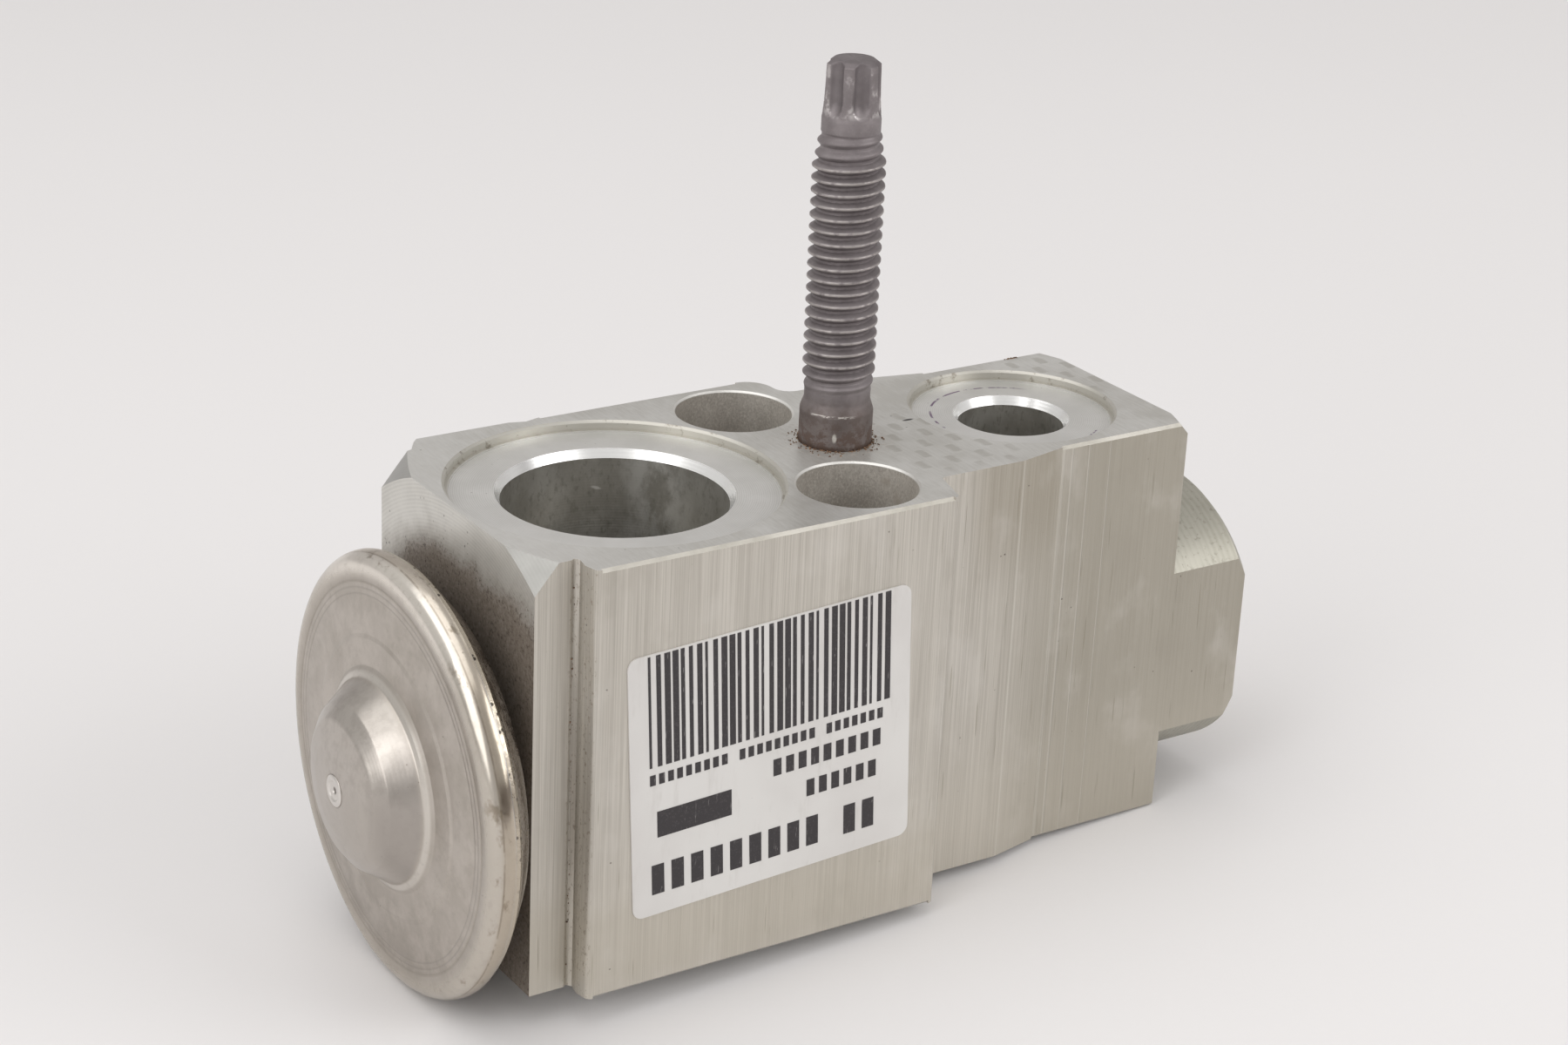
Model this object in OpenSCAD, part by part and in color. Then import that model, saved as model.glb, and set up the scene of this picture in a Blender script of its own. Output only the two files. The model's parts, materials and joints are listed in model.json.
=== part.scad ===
// Block expansion valve of a vehicle air conditioner, in millimetres.
// X runs along the valve axis from the power head to the adjusting screw, +Z towards the stud.
// The origin is midway between the two screw holes, on the evaporator-side face.

/* [Block] */
// Height of the block between its two port faces
block_h = 35.5; // [34.5:0.5:40]
// Distance from the screw-hole line to the end face under the power head
head_side_l = 30.1; // [30:0.1:33]
// Distance from the screw-hole line to the shoulder on the adjuster side
tail_side_l = 32.5; // [32:0.5:35]
// Half width over the two wide faces
wide_half_w = 14.8; // [14.5:0.1:17]
// Half width of the strip at the head end, near side
near_strip_half_w = 12.2; // [11.8:0.1:13]
// Half width of the strip at the head end, far side
far_strip_half_w = 12.7; // [12:0.1:13.2]
// Length of those strips along the block
strip_l = 3.6; // [3:0.1:4.2]
// Where the wide faces end, measured from the screw-hole line
wide_end_x = 5.8; // [5.4:0.1:6.4]
// Half width of the waist behind the wide faces
waist_half_w = 10.85; // [10.5:0.05:11.5]
// Half width of the tail, and of the flats on the boss
tail_half_w = 9.85; // [9.5:0.05:10.3]
// Where the waist begins to narrow to the tail
ramp_x = 14.8; // [12:0.2:16]
// Length over which it narrows
ramp_l = 4.6; // [3:0.2:6]
// Radius to which both end faces are turned
turned_face_r = 22.3; // [22:0.1:24]
// Width of the broken edges
edge_break = 0.25; // [0.1:0.05:0.4]
// Diameter of the boss round the adjusting screw
boss_d = 24.6; // [22:0.2:26]
// Length of the boss beyond the shoulder
boss_l = 8; // [7.6:0.1:10]
// Chamfer on the boss's rim
boss_chamfer = 0.9; // [0.3:0.1:1.5]

/* [Ports] */
// Height of the valve axis above the evaporator-side face
axis_z = 14.5; // [14.2:0.1:15]
// Suction line, distance from the screw-hole line
suction_offset = 16.4; // [16:0.1:16.8]
// Liquid line, distance from the screw-hole line
liquid_offset = 21.6; // [21:0.1:23]
// Evaporator inlet, distance from the screw-hole line
outlet_offset = 13; // [12.6:0.1:13.2]
// Bore of both suction ports
suction_port_d = 17.8; // [17:0.1:18]
// Bore of the liquid port
liquid_port_d = 8.8; // [8:0.1:10]
// Bore of the evaporator inlet port
outlet_port_d = 10; // [8.6:0.1:11]
// Recess round the suction port
suction_seat_d = 26.3; // [24:0.1:26.6]
// Recess round the liquid port
liquid_seat_d = 17.1; // [15:0.1:17.8]
// Depth of both recesses
seat_depth = 0.9; // [0.6:0.05:1.2]
// Depth of the suction port below its recess
suction_port_l = 9.6; // [8:0.1:10]
// Depth of the liquid port below its recess
liquid_port_l = 8.6; // [7:0.1:10]
// Depth of the two evaporator-side ports
evaporator_port_l = 5.2; // [4.6:0.1:5.4]
// Suction passage between the two ports
suction_passage_d = 14; // [13:0.1:14.6]
// Liquid and outlet passages
liquid_passage_d = 6.2; // [5.6:0.1:6.4]

/* [Fixing] */
// Spacing of the two screw holes across the block
screw_spacing = 18.2; // [18:0.1:18.4]
// Clearance hole for each screw
screw_hole_d = 5.5; // [4.5:0.1:6.6]
// Pocket for each screw head
screw_pocket_d = 9.6; // [8.6:0.1:9.8]
// Depth of the pocket
screw_pocket_l = 14; // [6:0.5:18]

/* [Stud] */
// Stud, distance from the screw-hole line
stud_x = 3.9; // [3:0.1:5]
// Diameter of the stud's shank
stud_d = 5.9; // [4.9:0.1:6]
// Height of the stud above the block
stud_h = 31.2; // [28:0.1:40]
// Depth to which it is screwed into the block
stud_set_l = 12; // [8:0.5:13]
// Length of the plain shank above the block
shank_l = 2.8; // [2:0.05:4]
// Depth of the neck between shank and thread
neck_cut = 0.3; // [0.15:0.05:0.6]
// Length of the neck, its cone included
neck_l = 2.2; // [1.6:0.1:3]
// Length of the full thread
thread_l = 18.2; // [14:0.2:18.6]
// Length of the six-lobed drive at the top
drive_l = 4.65; // [4:0.05:5.4]
// Diameter over the lobes
drive_d = 4.4; // [4:0.1:4.7]

/* [Power head] */
// Rim diameter of the power head
head_d = 35.2; // [33:0.2:37]
// Thickness of its sheet
head_sheet = 0.8; // [0.6:0.05:1]
// Thread diameter of its neck
head_neck_d = 16; // [15:0.2:16.2]
// Length of its neck inside the block
head_neck_l = 5.2; // [4.6:0.1:5.3]
// Gap between the block and the back of the rim
head_gap = 3.4; // [3.2:0.1:4.4]
// Depth of the cap from its weld seam to the front of its rim
cap_depth = 1.75; // [1.6:0.05:3]
// Rise of the front face from its rim to the foot of the dome
ring_rise = 0.35; // [0.2:0.05:0.6]
// Dome diameter at its foot
dome_foot_d = 16.8; // [15:0.2:18]
// Dome diameter at its shoulder
dome_top_d = 12.8; // [11:0.2:13.6]
// Height of the dome above its foot
dome_h = 4.1; // [3.4:0.05:5]
// Diameter of the weld plug in the dome
plug_d = 2.6; // [2.2:0.1:4]
// Thickness of the diaphragm
diaphragm_t = 0.2; // [0.15:0.05:0.3]
// Width of the diaphragm's free waves round the plate that carries its middle
wave_w = 3.2; // [2.6:0.1:4.6]
// Thickness of that plate
plate_t = 0.9; // [0.7:0.05:0.95]
// Diameter of the plate's guide stem
stem_d = 9.8; // [8:0.1:10]

/* [Valve] */
// Distance that the diaphragm can push the rod
stroke = 0.9; // [0.5:0.05:0.95]
// Diameter of the push rod
rod_d = 3; // [2.6:0.1:3.2]
// Diameter of the rod's tip in the orifice
rod_tip_d = 2; // [1.6:0.1:2.2]
// Diameter of the orifice
orifice_d = 3.6; // [3:0.1:3.8]
// Length of the orifice
orifice_l = 1.2; // [1:0.1:1.6]
// Diameter of the ball
ball_d = 4.8; // [4.4:0.1:5]
// Bore of the ball and spring chamber
chamber_d = 10.4; // [10:0.1:10.8]
// Wire diameter of the spring
wire_d = 1; // [0.8:0.1:1.1]
// Outer diameter of the spring
spring_d = 7; // [6.4:0.1:7.4]
// Turns of the spring
spring_turns = 5; // [4:0.5:6]
// Major diameter of the adjusting screw
adjuster_d = 11.9; // [11.4:0.1:12.4]
// Length of the adjusting screw
adjuster_l = 6.4; // [5.6:0.1:6.6]
// Depth of the screw below the end of the boss
adjuster_recess = 1.7; // [1.2:0.1:2]
// Furthest travel of the screw either way from its setting
adjuster_travel = 1; // [0.5:0.1:1.1]
// Hexagon key of the screw, across its flats
hex_key = 4; // [3:0.5:5]
// Section of the seal ring on the head's neck
head_seal_d = 1.6; // [1.4:0.1:1.7]
// Section of the seal ring on the rod
rod_seal_d = 1.76; // [1.6:0.02:1.8]
// Section of the seal ring on the adjusting screw
adjuster_seal_d = 1.5; // [1.3:0.1:1.6]

/* [Label] */
// Width of the label
label_w = 25.3; // [20:0.1:28]
// Height of the label
label_h = 22; // [16:0.5:26]
// Thickness of the label
label_t = 0.12; // [0.08:0.01:0.2]
// Slant at which it was stuck on, in degrees
label_turn = 2.9; // [0:0.1:4]

/* [Fits] */
// Clearance between a moving piece and its guide
running_gap = 0.06; // [0.03:0.01:0.09]
// Clearance round a piece that is screwed in or squeezed in place
seat_gap = 0.05; // [0.02:0.01:0.08]

/* [Hidden] */

$fn = 96;
through = 1;

boss_end_x = tail_side_l + boss_l;
step_x = -(head_side_l - strip_l);
strip_root_w = 0.6;
strip_root_depth = 0.2;
wall_bow = 0.2;
wide_corner_r = 0.5;
step_lean = 0.8;
near_corner_r = 0.55;
waist_root_r = 0.5;
far_root_r = 1.5;
far_step_x = wide_end_x + 0.1;
far_corner_r = 2.2;
far_slope = 0.9;
notch_w = 2.8;
notch_depth = 0.4;

port_chamfer_w = 0.45;
port_chamfer_h = 0.7;
seat_rim_break = 0.2;
seat_foot_w = 0.3;
seat_foot_h = 0.15;
drill_cone = 30;

// Places along the valve axis, from the head towards the boss
socket_d = head_neck_d + 2 * seat_gap;
socket_l = head_neck_l + 0.2;
head_seal_r = head_neck_d / 2 + seat_gap + head_seal_d / 2;
head_seal_pocket_l = head_seal_d + seat_gap;
rod_bore_d = rod_d + 2 * running_gap;
rod_seal_r = rod_d / 2 + running_gap + rod_seal_d / 2;
rod_seal_pocket_d = 2 * (rod_seal_r + rod_seal_d / 2 + seat_gap);
rod_seal_pocket_l = 4.4;
retainer_t = 0.6;
rod_seal_floor_x = rod_seal_pocket_l - suction_offset + suction_passage_d / 2;
seat_x = outlet_offset + liquid_passage_d / 2 + orifice_l;
ball_x = seat_x + sqrt(pow(ball_d / 2, 2) - pow(orifice_d / 2, 2)) + seat_gap;
carrier_wall = 1;
carrier_back_x = ball_x + ball_d / 2 + carrier_wall;
carrier_d = spring_d + 0.4;
damper_t = 0.3;
damper_rim_w = 0.3;
damper_leg_w = 1.6;
damper_leg_l = 3;
spring_start_x = carrier_back_x + damper_t;
spigot_d = spring_d - 2 * wire_d - 0.6;
spigot_l = 1.6;
seat_flange_t = 1.2;
adjuster_front_x = boss_end_x - adjuster_recess - adjuster_l;
spring_end_x = adjuster_front_x - seat_flange_t;
adjuster_bore_d = adjuster_d + 2 * running_gap;
adjuster_bore_x = adjuster_front_x - adjuster_travel - 0.6;
hex_l = 3.4;
adjuster_land = 1;
adjuster_groove_gap = 0.3;

// Levels of the power head, measured outwards from the block's end face
flange_t = 0.5;
flange_level = head_gap + flange_t;
seam_level = flange_level + diaphragm_t;
rim_level = seam_level + cap_depth;
ring_level = rim_level + ring_rise;
dome_level = ring_level + dome_h;
rim_r = head_d / 2;
rim_round_r = 1.4;
rim_curl = 0.05;
flange_r = rim_r - 0.4;
hub_r = 11.4;
ring_step_w = 2.9;
ledge_w = 2.6;
ledge_r = rim_r - ledge_w;
plate_r = ledge_r - wave_w;
back_edge_r = hub_r + 0.55 * (flange_r - hub_r);
back_edge_level = 0.44 * head_gap;
stop_gap = 0.1;
plate_level = flange_level - seat_gap - plate_t;
head_floor = plate_level - stroke - stop_gap;
stem_room = 0.6;
stem_stop = 1.4;
stem_end = stem_stop - head_neck_l;
rod_pocket_l = 3.4;
vent_d = 1.4;

// Levels of the stud above the stud-side face
neck_level = shank_l + neck_l;
thread_top = neck_level + thread_l;
drive_level = stud_h - drive_l;
thread_cut = 0.05;
fade_cut = 0.45;
cone_run = 2.6;
collar_l = 1;
drive_run_out_l = 1.5;

// The label was stuck on a little off the middle of the near wide face
label_off_x = -0.25;
label_off_z = -0.25;
label_x = (step_x + wide_end_x) / 2 + label_off_x;
label_z = block_h / 2 + label_off_z;
label_corner_r = 0.9;
label_margin = 1.7;
print_t = 0.03;
bar_count = 31;

aluminium = [0.74, 0.73, 0.70];
stainless = [0.72, 0.69, 0.66];
phosphated = [0.42, 0.40, 0.41];
rubber_black = [0.10, 0.10, 0.11];
brass_yellow = [0.75, 0.62, 0.36];
steel_grey = [0.62, 0.62, 0.63];
paper_white = [0.93, 0.93, 0.92];
ink_black = [0.12, 0.11, 0.12];

// Points of an arc about a centre, from one angle to another
function arc(centre, r, from, to, steps = 8) =
    [for (i = [0:steps]) let (a = from + (to - from) * i / steps) centre + r * [cos(a), sin(a)]];

// Turns a child that stands on Z so that it points along the valve axis, away from the head
module along_axis(x) {
    translate([x, 0, axis_z]) rotate([0, 90, 0]) children();
}

// Turns a child that stands on Z so that it points outwards from the head-side end face
module on_head_end() {
    translate([-head_side_l, 0, axis_z]) rotate([0, -90, 0]) children();
}

module disc(d, from, to) {
    translate([0, 0, from]) cylinder(d = d, h = to - from);
}

// A ring of round section, standing about Z
module seal_ring(r, section, z) {
    rotate_extrude() translate([r, z]) circle(d = section, $fn = 32);
}

// Extruded section of the block, seen from the stud side
module block_section() {
    near_step_foot_x = wide_end_x + step_lean;
    near_side = concat(
        [[-head_side_l, -near_strip_half_w], [step_x - strip_root_w, -near_strip_half_w],
         [step_x - strip_root_w / 2, strip_root_depth - near_strip_half_w],
         [step_x, -near_strip_half_w - strip_root_depth],
         [step_x - wall_bow, -(near_strip_half_w + wide_half_w) / 2]],
        arc([step_x + wide_corner_r, wide_corner_r - wide_half_w], wide_corner_r, 180, 270, 4),
        arc([wide_end_x - near_corner_r, near_corner_r - wide_half_w], near_corner_r, 270, 360, 4),
        arc([near_step_foot_x + waist_root_r, -waist_half_w - waist_root_r],
            waist_root_r, 180, 90, 6),
        [[ramp_x, -waist_half_w], [ramp_x + ramp_l, -tail_half_w], [tail_side_l, -tail_half_w]]);
    far_side = concat(
        [[tail_side_l, tail_half_w], [ramp_x + ramp_l, tail_half_w], [ramp_x, waist_half_w]],
        arc([far_step_x + far_root_r, waist_half_w + far_root_r], far_root_r, 270, 180, 6),
        arc([far_step_x - far_corner_r, wide_half_w - far_corner_r], far_corner_r, 0, 90),
        [[notch_w / 2 - suction_offset, wide_half_w], [-suction_offset, wide_half_w - notch_depth],
         [-notch_w / 2 - suction_offset, wide_half_w],
         [step_x + wide_corner_r, wide_half_w], [step_x, wide_half_w - wide_corner_r],
         [step_x - far_slope, far_strip_half_w + strip_root_depth],
         [step_x - far_slope - strip_root_w, far_strip_half_w], [-head_side_l, far_strip_half_w]]);
    polygon(concat(near_side, far_side));
}

// Space inside which both ends have been turned, with the 45 degree chamfers on the corners
module turned_ends() {
    depth = turned_face_r;
    along_axis(0) rotate_extrude() polygon([
        [0, -head_side_l], [turned_face_r, -head_side_l],
        [turned_face_r + depth, depth - head_side_l],
        [turned_face_r + depth, tail_side_l - depth], [turned_face_r, tail_side_l],
        [0, tail_side_l]]);
}

// Boss round the adjusting screw, cut to the width of the tail
module boss() {
    intersection() {
        along_axis(tail_side_l - through) rotate_extrude() polygon([
            [0, 0], [boss_d / 2, 0], [boss_d / 2, through + boss_l - boss_chamfer],
            [boss_d / 2 - boss_chamfer, through + boss_l], [0, through + boss_l]]);
        translate([tail_side_l - 2 * through, -tail_half_w, 0])
            cube([boss_l + 3 * through, 2 * tail_half_w, block_h]);
    }
}

// A 45 degree cut along a straight edge from a to b at height z
module edge_cut(a, b, z) {
    run = b - a;
    translate([(a[0] + b[0]) / 2, (a[1] + b[1]) / 2, z])
        rotate([0, 0, atan2(run[1], run[0])])
            rotate([45, 0, 0])
                cube([norm(run), edge_break * sqrt(2), edge_break * sqrt(2)], center = true);
}

module broken_edges() {
    for (z = [0, block_h]) {
        edge_cut([step_x + wide_corner_r, -wide_half_w],
            [wide_end_x - near_corner_r, -wide_half_w], z);
        edge_cut([ramp_x + ramp_l, -tail_half_w], [tail_side_l, -tail_half_w], z);
        edge_cut([ramp_x + ramp_l, tail_half_w], [tail_side_l, tail_half_w], z);
        edge_cut([notch_w / 2 - suction_offset, wide_half_w],
            [far_step_x - far_corner_r, wide_half_w], z);
    }
}

// Cut for a port: recess, chamfered bore, cone and passage, from the stud-side face down
module port_cut(seat_d, port_d, port_l, passage_d, depth) {
    port_floor = -seat_depth - port_l;
    cone_h = (port_d - passage_d) / 2 * tan(drill_cone);
    translate([0, 0, block_h]) rotate_extrude() polygon([
        [0, through], [seat_d / 2 + seat_rim_break, through], [seat_d / 2 + seat_rim_break, 0],
        [seat_d / 2, -seat_rim_break], [seat_d / 2, seat_foot_h - seat_depth],
        [seat_d / 2 - seat_foot_w, seat_foot_h - seat_depth],
        [seat_d / 2 - seat_foot_w, -seat_depth],
        [port_d / 2 + port_chamfer_w, -seat_depth],
        [port_d / 2, -seat_depth - port_chamfer_h], [port_d / 2, port_floor],
        [passage_d / 2, port_floor - cone_h], [passage_d / 2, -depth], [0, -depth]]);
}

// Cut for a port in the evaporator-side face, with a lead-in chamfer and a passage upwards
module evaporator_port_cut(port_d, passage_d, depth) {
    cone_h = (port_d - passage_d) / 2 * tan(drill_cone);
    rotate_extrude() polygon([
        [0, -through], [port_d / 2 + port_chamfer_w, -through],
        [port_d / 2 + port_chamfer_w, 0], [port_d / 2, port_chamfer_h],
        [port_d / 2, evaporator_port_l], [passage_d / 2, evaporator_port_l + cone_h],
        [passage_d / 2, depth], [0, depth + passage_d / 2 * tan(drill_cone)]]);
}

// Cut for one screw: a pocket for its head and a clearance hole through the block
module screw_cut() {
    lead = 0.15;
    translate([0, 0, block_h]) rotate_extrude() polygon([
        [0, through], [screw_pocket_d / 2 + lead, through], [screw_pocket_d / 2 + lead, 0],
        [screw_pocket_d / 2, -lead], [screw_pocket_d / 2, -screw_pocket_l],
        [screw_hole_d / 2, -screw_pocket_l - 1], [screw_hole_d / 2, -block_h - through],
        [0, -block_h - through]]);
}

// Cut for the stud: a hole with a drilled cone at its end
module stud_hole_cut() {
    r = stud_d / 2 + seat_gap;
    hole_floor = -stud_set_l - seat_gap;
    translate([stud_x, 0, block_h]) rotate_extrude() polygon([
        [0, through], [r, through], [r, hole_floor], [0, hole_floor - r * tan(drill_cone)]]);
}

// Everything that is bored along the valve axis
module axis_cuts() {
    mouth = 0.6;
    on_head_end() {
        disc(2 * (head_seal_r + head_seal_d / 2 + seat_gap), -head_seal_pocket_l, through);
        disc(socket_d, -socket_l, through);
        disc(stem_d + 2 * stem_room, suction_offset - head_side_l, 0);
    }
    along_axis(0) {
        disc(rod_seal_pocket_d, -suction_offset, rod_seal_floor_x);
        disc(rod_bore_d, -suction_offset, outlet_offset);
        disc(orifice_d, outlet_offset, seat_x + through);
        disc(chamber_d, seat_x, boss_end_x);
        disc(adjuster_bore_d, adjuster_bore_x, boss_end_x + through);
        translate([0, 0, boss_end_x - mouth])
            cylinder(d1 = adjuster_bore_d, d2 = adjuster_bore_d + 4 * mouth, h = 2 * mouth);
    }
}

module valve_block() {
    color(aluminium) difference() {
        union() {
            intersection() {
                linear_extrude(block_h) block_section();
                turned_ends();
            }
            boss();
        }
        broken_edges();
        translate([-suction_offset, 0, 0]) {
            port_cut(suction_seat_d, suction_port_d, suction_port_l, suction_passage_d,
                block_h - axis_z);
            evaporator_port_cut(suction_port_d, suction_passage_d, axis_z);
        }
        translate([liquid_offset, 0, 0])
            port_cut(liquid_seat_d, liquid_port_d, liquid_port_l, liquid_passage_d,
                block_h - axis_z - chamber_d / 4);
        translate([outlet_offset, 0, 0])
            evaporator_port_cut(outlet_port_d, liquid_passage_d, axis_z + liquid_passage_d / 4);
        for (side = [-1, 1]) translate([0, side * screw_spacing / 2, 0]) screw_cut();
        stud_hole_cut();
        axis_cuts();
    }
}

// Section of the six-lobed drive
module drive_section() {
    flute_d = drive_d * 3 / 8;
    flute_depth = drive_d / 8;
    drive_turn = 16;
    difference() {
        circle(d = drive_d);
        for (i = [0:5]) rotate([0, 0, 60 * i + drive_turn])
            translate([(drive_d + flute_d) / 2 - flute_depth, 0]) circle(d = flute_d, $fn = 32);
    }
}

module clamp_stud() {
    r = stud_d / 2;
    thread_r = r - thread_cut;
    fade_r = r - fade_cut;
    neck_r = r - neck_cut;
    lead = 0.25;
    cone_l = cone_run * neck_cut;
    collar_r = drive_d / 2 + 0.13;
    tip_chamfer = 0.7;
    drive_chamfer_w = 0.6;
    drive_chamfer_h = 0.37;
    root = 0.01;
    color(phosphated) translate([stud_x, 0, block_h]) {
        rotate_extrude() polygon([
            [0, -stud_set_l], [r - tip_chamfer, -stud_set_l], [r, tip_chamfer - stud_set_l],
            [r, shank_l], [neck_r, shank_l + cone_l], [neck_r, neck_level - lead],
            [thread_r, neck_level], [thread_r, thread_top], [fade_r, thread_top + lead],
            [fade_r, drive_level - collar_l - lead], [collar_r, drive_level - collar_l],
            [collar_r, drive_level], [0, drive_level]]);
        intersection() {
            translate([0, 0, drive_level - root]) linear_extrude(drive_l + root) drive_section();
            rotate_extrude() polygon([
                [0, drive_level - root], [drive_d / 2 + root, drive_level - root],
                [drive_d / 2 + root, stud_h - drive_chamfer_h],
                [drive_d / 2, stud_h - drive_chamfer_h],
                [drive_d / 2 - drive_chamfer_w, stud_h], [0, stud_h]]);
        }
        // the flutes run out on a cone above the collar
        translate([0, 0, drive_level - root])
            cylinder(r1 = collar_r, r2 = drive_d / 3, h = drive_run_out_l);
    }
}

module label_plane() {
    translate([label_x, -wide_half_w, label_z]) rotate([90, 0, 0]) rotate([0, 0, label_turn])
        children();
}

module label() {
    inner_w = label_w - 2 * label_corner_r;
    inner_h = label_h - 2 * label_corner_r;
    color(paper_white) label_plane() linear_extrude(label_t) union() {
        square([inner_w, label_h], center = true);
        square([label_w, inner_h], center = true);
        for (sx = [-1, 1], sy = [-1, 1])
            translate([sx * inner_w / 2, sy * inner_h / 2]) circle(r = label_corner_r, $fn = 32);
    }
}

// A row of dark blocks on a pitch from x0 to x1, with a space wherever a word would end
module print_row(x0, x1, y, h, pitch) {
    fill = 0.62;
    count = floor((x1 - x0) / pitch);
    for (i = [0:count - 1]) if ((i * 7) % 10 != 3)
        translate([x0 + i * pitch, y]) square([pitch * fill, h]);
}

// Print on the label: upright bars, four rows of blocks and one plain field
module label_print() {
    x0 = label_margin - label_w / 2;
    x1 = label_w / 2 - label_margin;
    bar_pitch = (x1 - x0) / bar_count;
    bar_h = label_h * 0.42;
    top_gap = label_h / 150;
    color(ink_black) label_plane() translate([0, 0, label_t]) linear_extrude(print_t) union() {
        for (i = [0:bar_count - 1])
            translate([x0 + i * bar_pitch, label_h / 2 - top_gap - bar_h])
                square([bar_pitch * (0.3 + 0.5 * ((i * i * i + 2 * i) % 7) / 6), bar_h]);
        print_row(x0, x1, label_h * 0.005, label_h * 0.04, label_w / 32);
        print_row(0, x1, -label_h * 0.1, label_h * 0.065, label_w / 22);
        print_row(label_w * 0.12, x1, -label_h * 0.22, label_h * 0.065, label_w / 22);
        print_row(x0, x1, -label_h * 0.42, label_h * 0.115, label_w / 14.5);
        translate([x0 + label_margin / 3, -label_h * 0.2])
            square([label_w * 0.26, label_h * 0.1]);
    }
}

// Cap of the power head: a drawn cup with a rolled rim, a gently rising face and a dome
module head_cap() {
    foot_r = dome_foot_d / 2;
    top_r = dome_top_d / 2;
    sheet = head_sheet;
    shoulder_drop = 1.2;
    ridge = 0.4;
    press_step = 0.1;
    step_r = foot_r + ring_step_w;
    round_centre = [rim_r - rim_round_r, rim_level - rim_round_r];
    outside = concat(
        [[rim_r - rim_curl, seam_level]],
        arc(round_centre, rim_round_r, 0, 90),
        [[step_r, ring_level - press_step], [step_r - 3 * press_step, ring_level],
         [foot_r + 0.5, ring_level + press_step], [foot_r, ring_level + ridge],
         [foot_r - 0.35, ring_level + ridge + 0.2],
         [top_r + 0.4, dome_level - shoulder_drop - 0.5],
         [top_r, dome_level - shoulder_drop],
         [top_r - 0.9, dome_level - shoulder_drop + 0.6],
         [top_r * 0.6, dome_level - 0.25], [plug_d / 2 + 0.3, dome_level],
         [plug_d / 2, dome_level]]);
    inside = concat(
        [[plug_d / 2, dome_level - sheet], [top_r * 0.6, dome_level - sheet - 0.25],
         [top_r - sheet, dome_level - shoulder_drop - 0.3],
         [foot_r - sheet - 0.35, ring_level + ridge - 0.2], [foot_r - 0.3, ring_level - sheet],
         [round_centre[0], rim_level - sheet]],
        arc(round_centre, rim_round_r - sheet, 90, 0, 4),
        [[rim_r - sheet, seam_level]]);
    color(stainless) on_head_end() rotate_extrude() polygon(concat(outside, inside));
}

// Plug that is welded into the filling hole of the dome, with a dimple in its middle
module charge_plug() {
    top = dome_level;
    r = plug_d / 2;
    crown = 0.1;
    color(stainless) on_head_end() rotate_extrude() polygon([
        [0, top - head_sheet - 3 * crown], [r, top - head_sheet - 3 * crown], [r, top],
        [r - 2 * crown, top + crown], [r * 0.6, top + crown], [r * 0.35, top - crown],
        [0, top - 1.5 * crown]]);
}

// Thin corrugated disc, clamped between the cap and the base at its edge
module diaphragm() {
    edge_r = flange_r;
    flat_r = plate_r + 0.4;
    waves = 2;
    wave_h = 0.25;
    span = ledge_r - flat_r;
    steps = 16;
    function lift(i) = wave_h * (1 - cos(360 * waves * i / steps)) / 2;
    profile = [for (i = [0:steps]) [flat_r + span * i / steps, lift(i)]];
    color(steel_grey) on_head_end() translate([0, 0, flange_level]) rotate_extrude()
        polygon(concat(
            [[0, 0]], profile, [[edge_r, 0], [edge_r, diaphragm_t]],
            [for (i = [steps:-1:0]) profile[i] + [0, diaphragm_t]], [[0, diaphragm_t]]));
}

// Lower half of the head: a pressed dish with a threaded neck, seated on the block
module head_base() {
    neck_r = head_neck_d / 2;
    bore_r = stem_d / 2 + running_gap;
    well_r = plate_r + 0.5;
    lead = 0.5;
    rim_break = 0.2;
    color(stainless) on_head_end() rotate_extrude() polygon([
        [bore_r, -head_neck_l], [neck_r - lead, -head_neck_l], [neck_r, lead - head_neck_l],
        [neck_r, 0], [hub_r, 0], [hub_r + lead, lead],
        [back_edge_r - lead, back_edge_level - rim_break], [back_edge_r, back_edge_level],
        [flange_r - rim_break, head_gap], [flange_r, head_gap + rim_break],
        [flange_r, flange_level], [ledge_r, flange_level],
        [well_r, flange_level - 0.3], [well_r, head_floor], [bore_r, head_floor]]);
}

module head_seal() {
    color(rubber_black) on_head_end() seal_ring(head_seal_r, head_seal_d, -head_seal_pocket_l
        + head_seal_d / 2 + seat_gap / 2);
}

// Plate that carries the middle of the diaphragm, with a stem that guides it
module diaphragm_plate() {
    top = plate_level + plate_t;
    color(brass_yellow) on_head_end() difference() {
        rotate_extrude() polygon([
            [0, stem_end], [stem_d / 2 - 0.3, stem_end], [stem_d / 2, stem_end + 0.3],
            [stem_d / 2, plate_level], [plate_r, plate_level], [plate_r, top - 0.2],
            [plate_r - 0.2, top], [0, top]]);
        disc(rod_bore_d, stem_end - through, stem_end + rod_pocket_l);
        for (i = [0:2]) rotate([0, 0, 120 * i]) translate([stem_d / 2 - vent_d, 0, 0])
            disc(vent_d, stem_end - through, top + through);
    }
}

module push_rod() {
    start_x = -head_side_l - stem_end - rod_pocket_l;
    tip_x = outlet_offset - liquid_passage_d / 2 + 0.8;
    contact_x = ball_x - ball_d / 2;
    lead = 0.2;
    color(steel_grey) along_axis(0) rotate_extrude() polygon([
        [0, start_x], [rod_d / 2 - lead, start_x], [rod_d / 2, start_x + lead],
        [rod_d / 2, tip_x], [rod_tip_d / 2, tip_x + 3 * lead],
        [rod_tip_d / 2, contact_x - lead / 2], [rod_tip_d / 2 - lead / 2, contact_x],
        [0, contact_x]]);
}

module rod_seal() {
    color(rubber_black) along_axis(rod_seal_floor_x)
        seal_ring(rod_seal_r, rod_seal_d, -rod_seal_d / 2 - seat_gap / 2);
}

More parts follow.
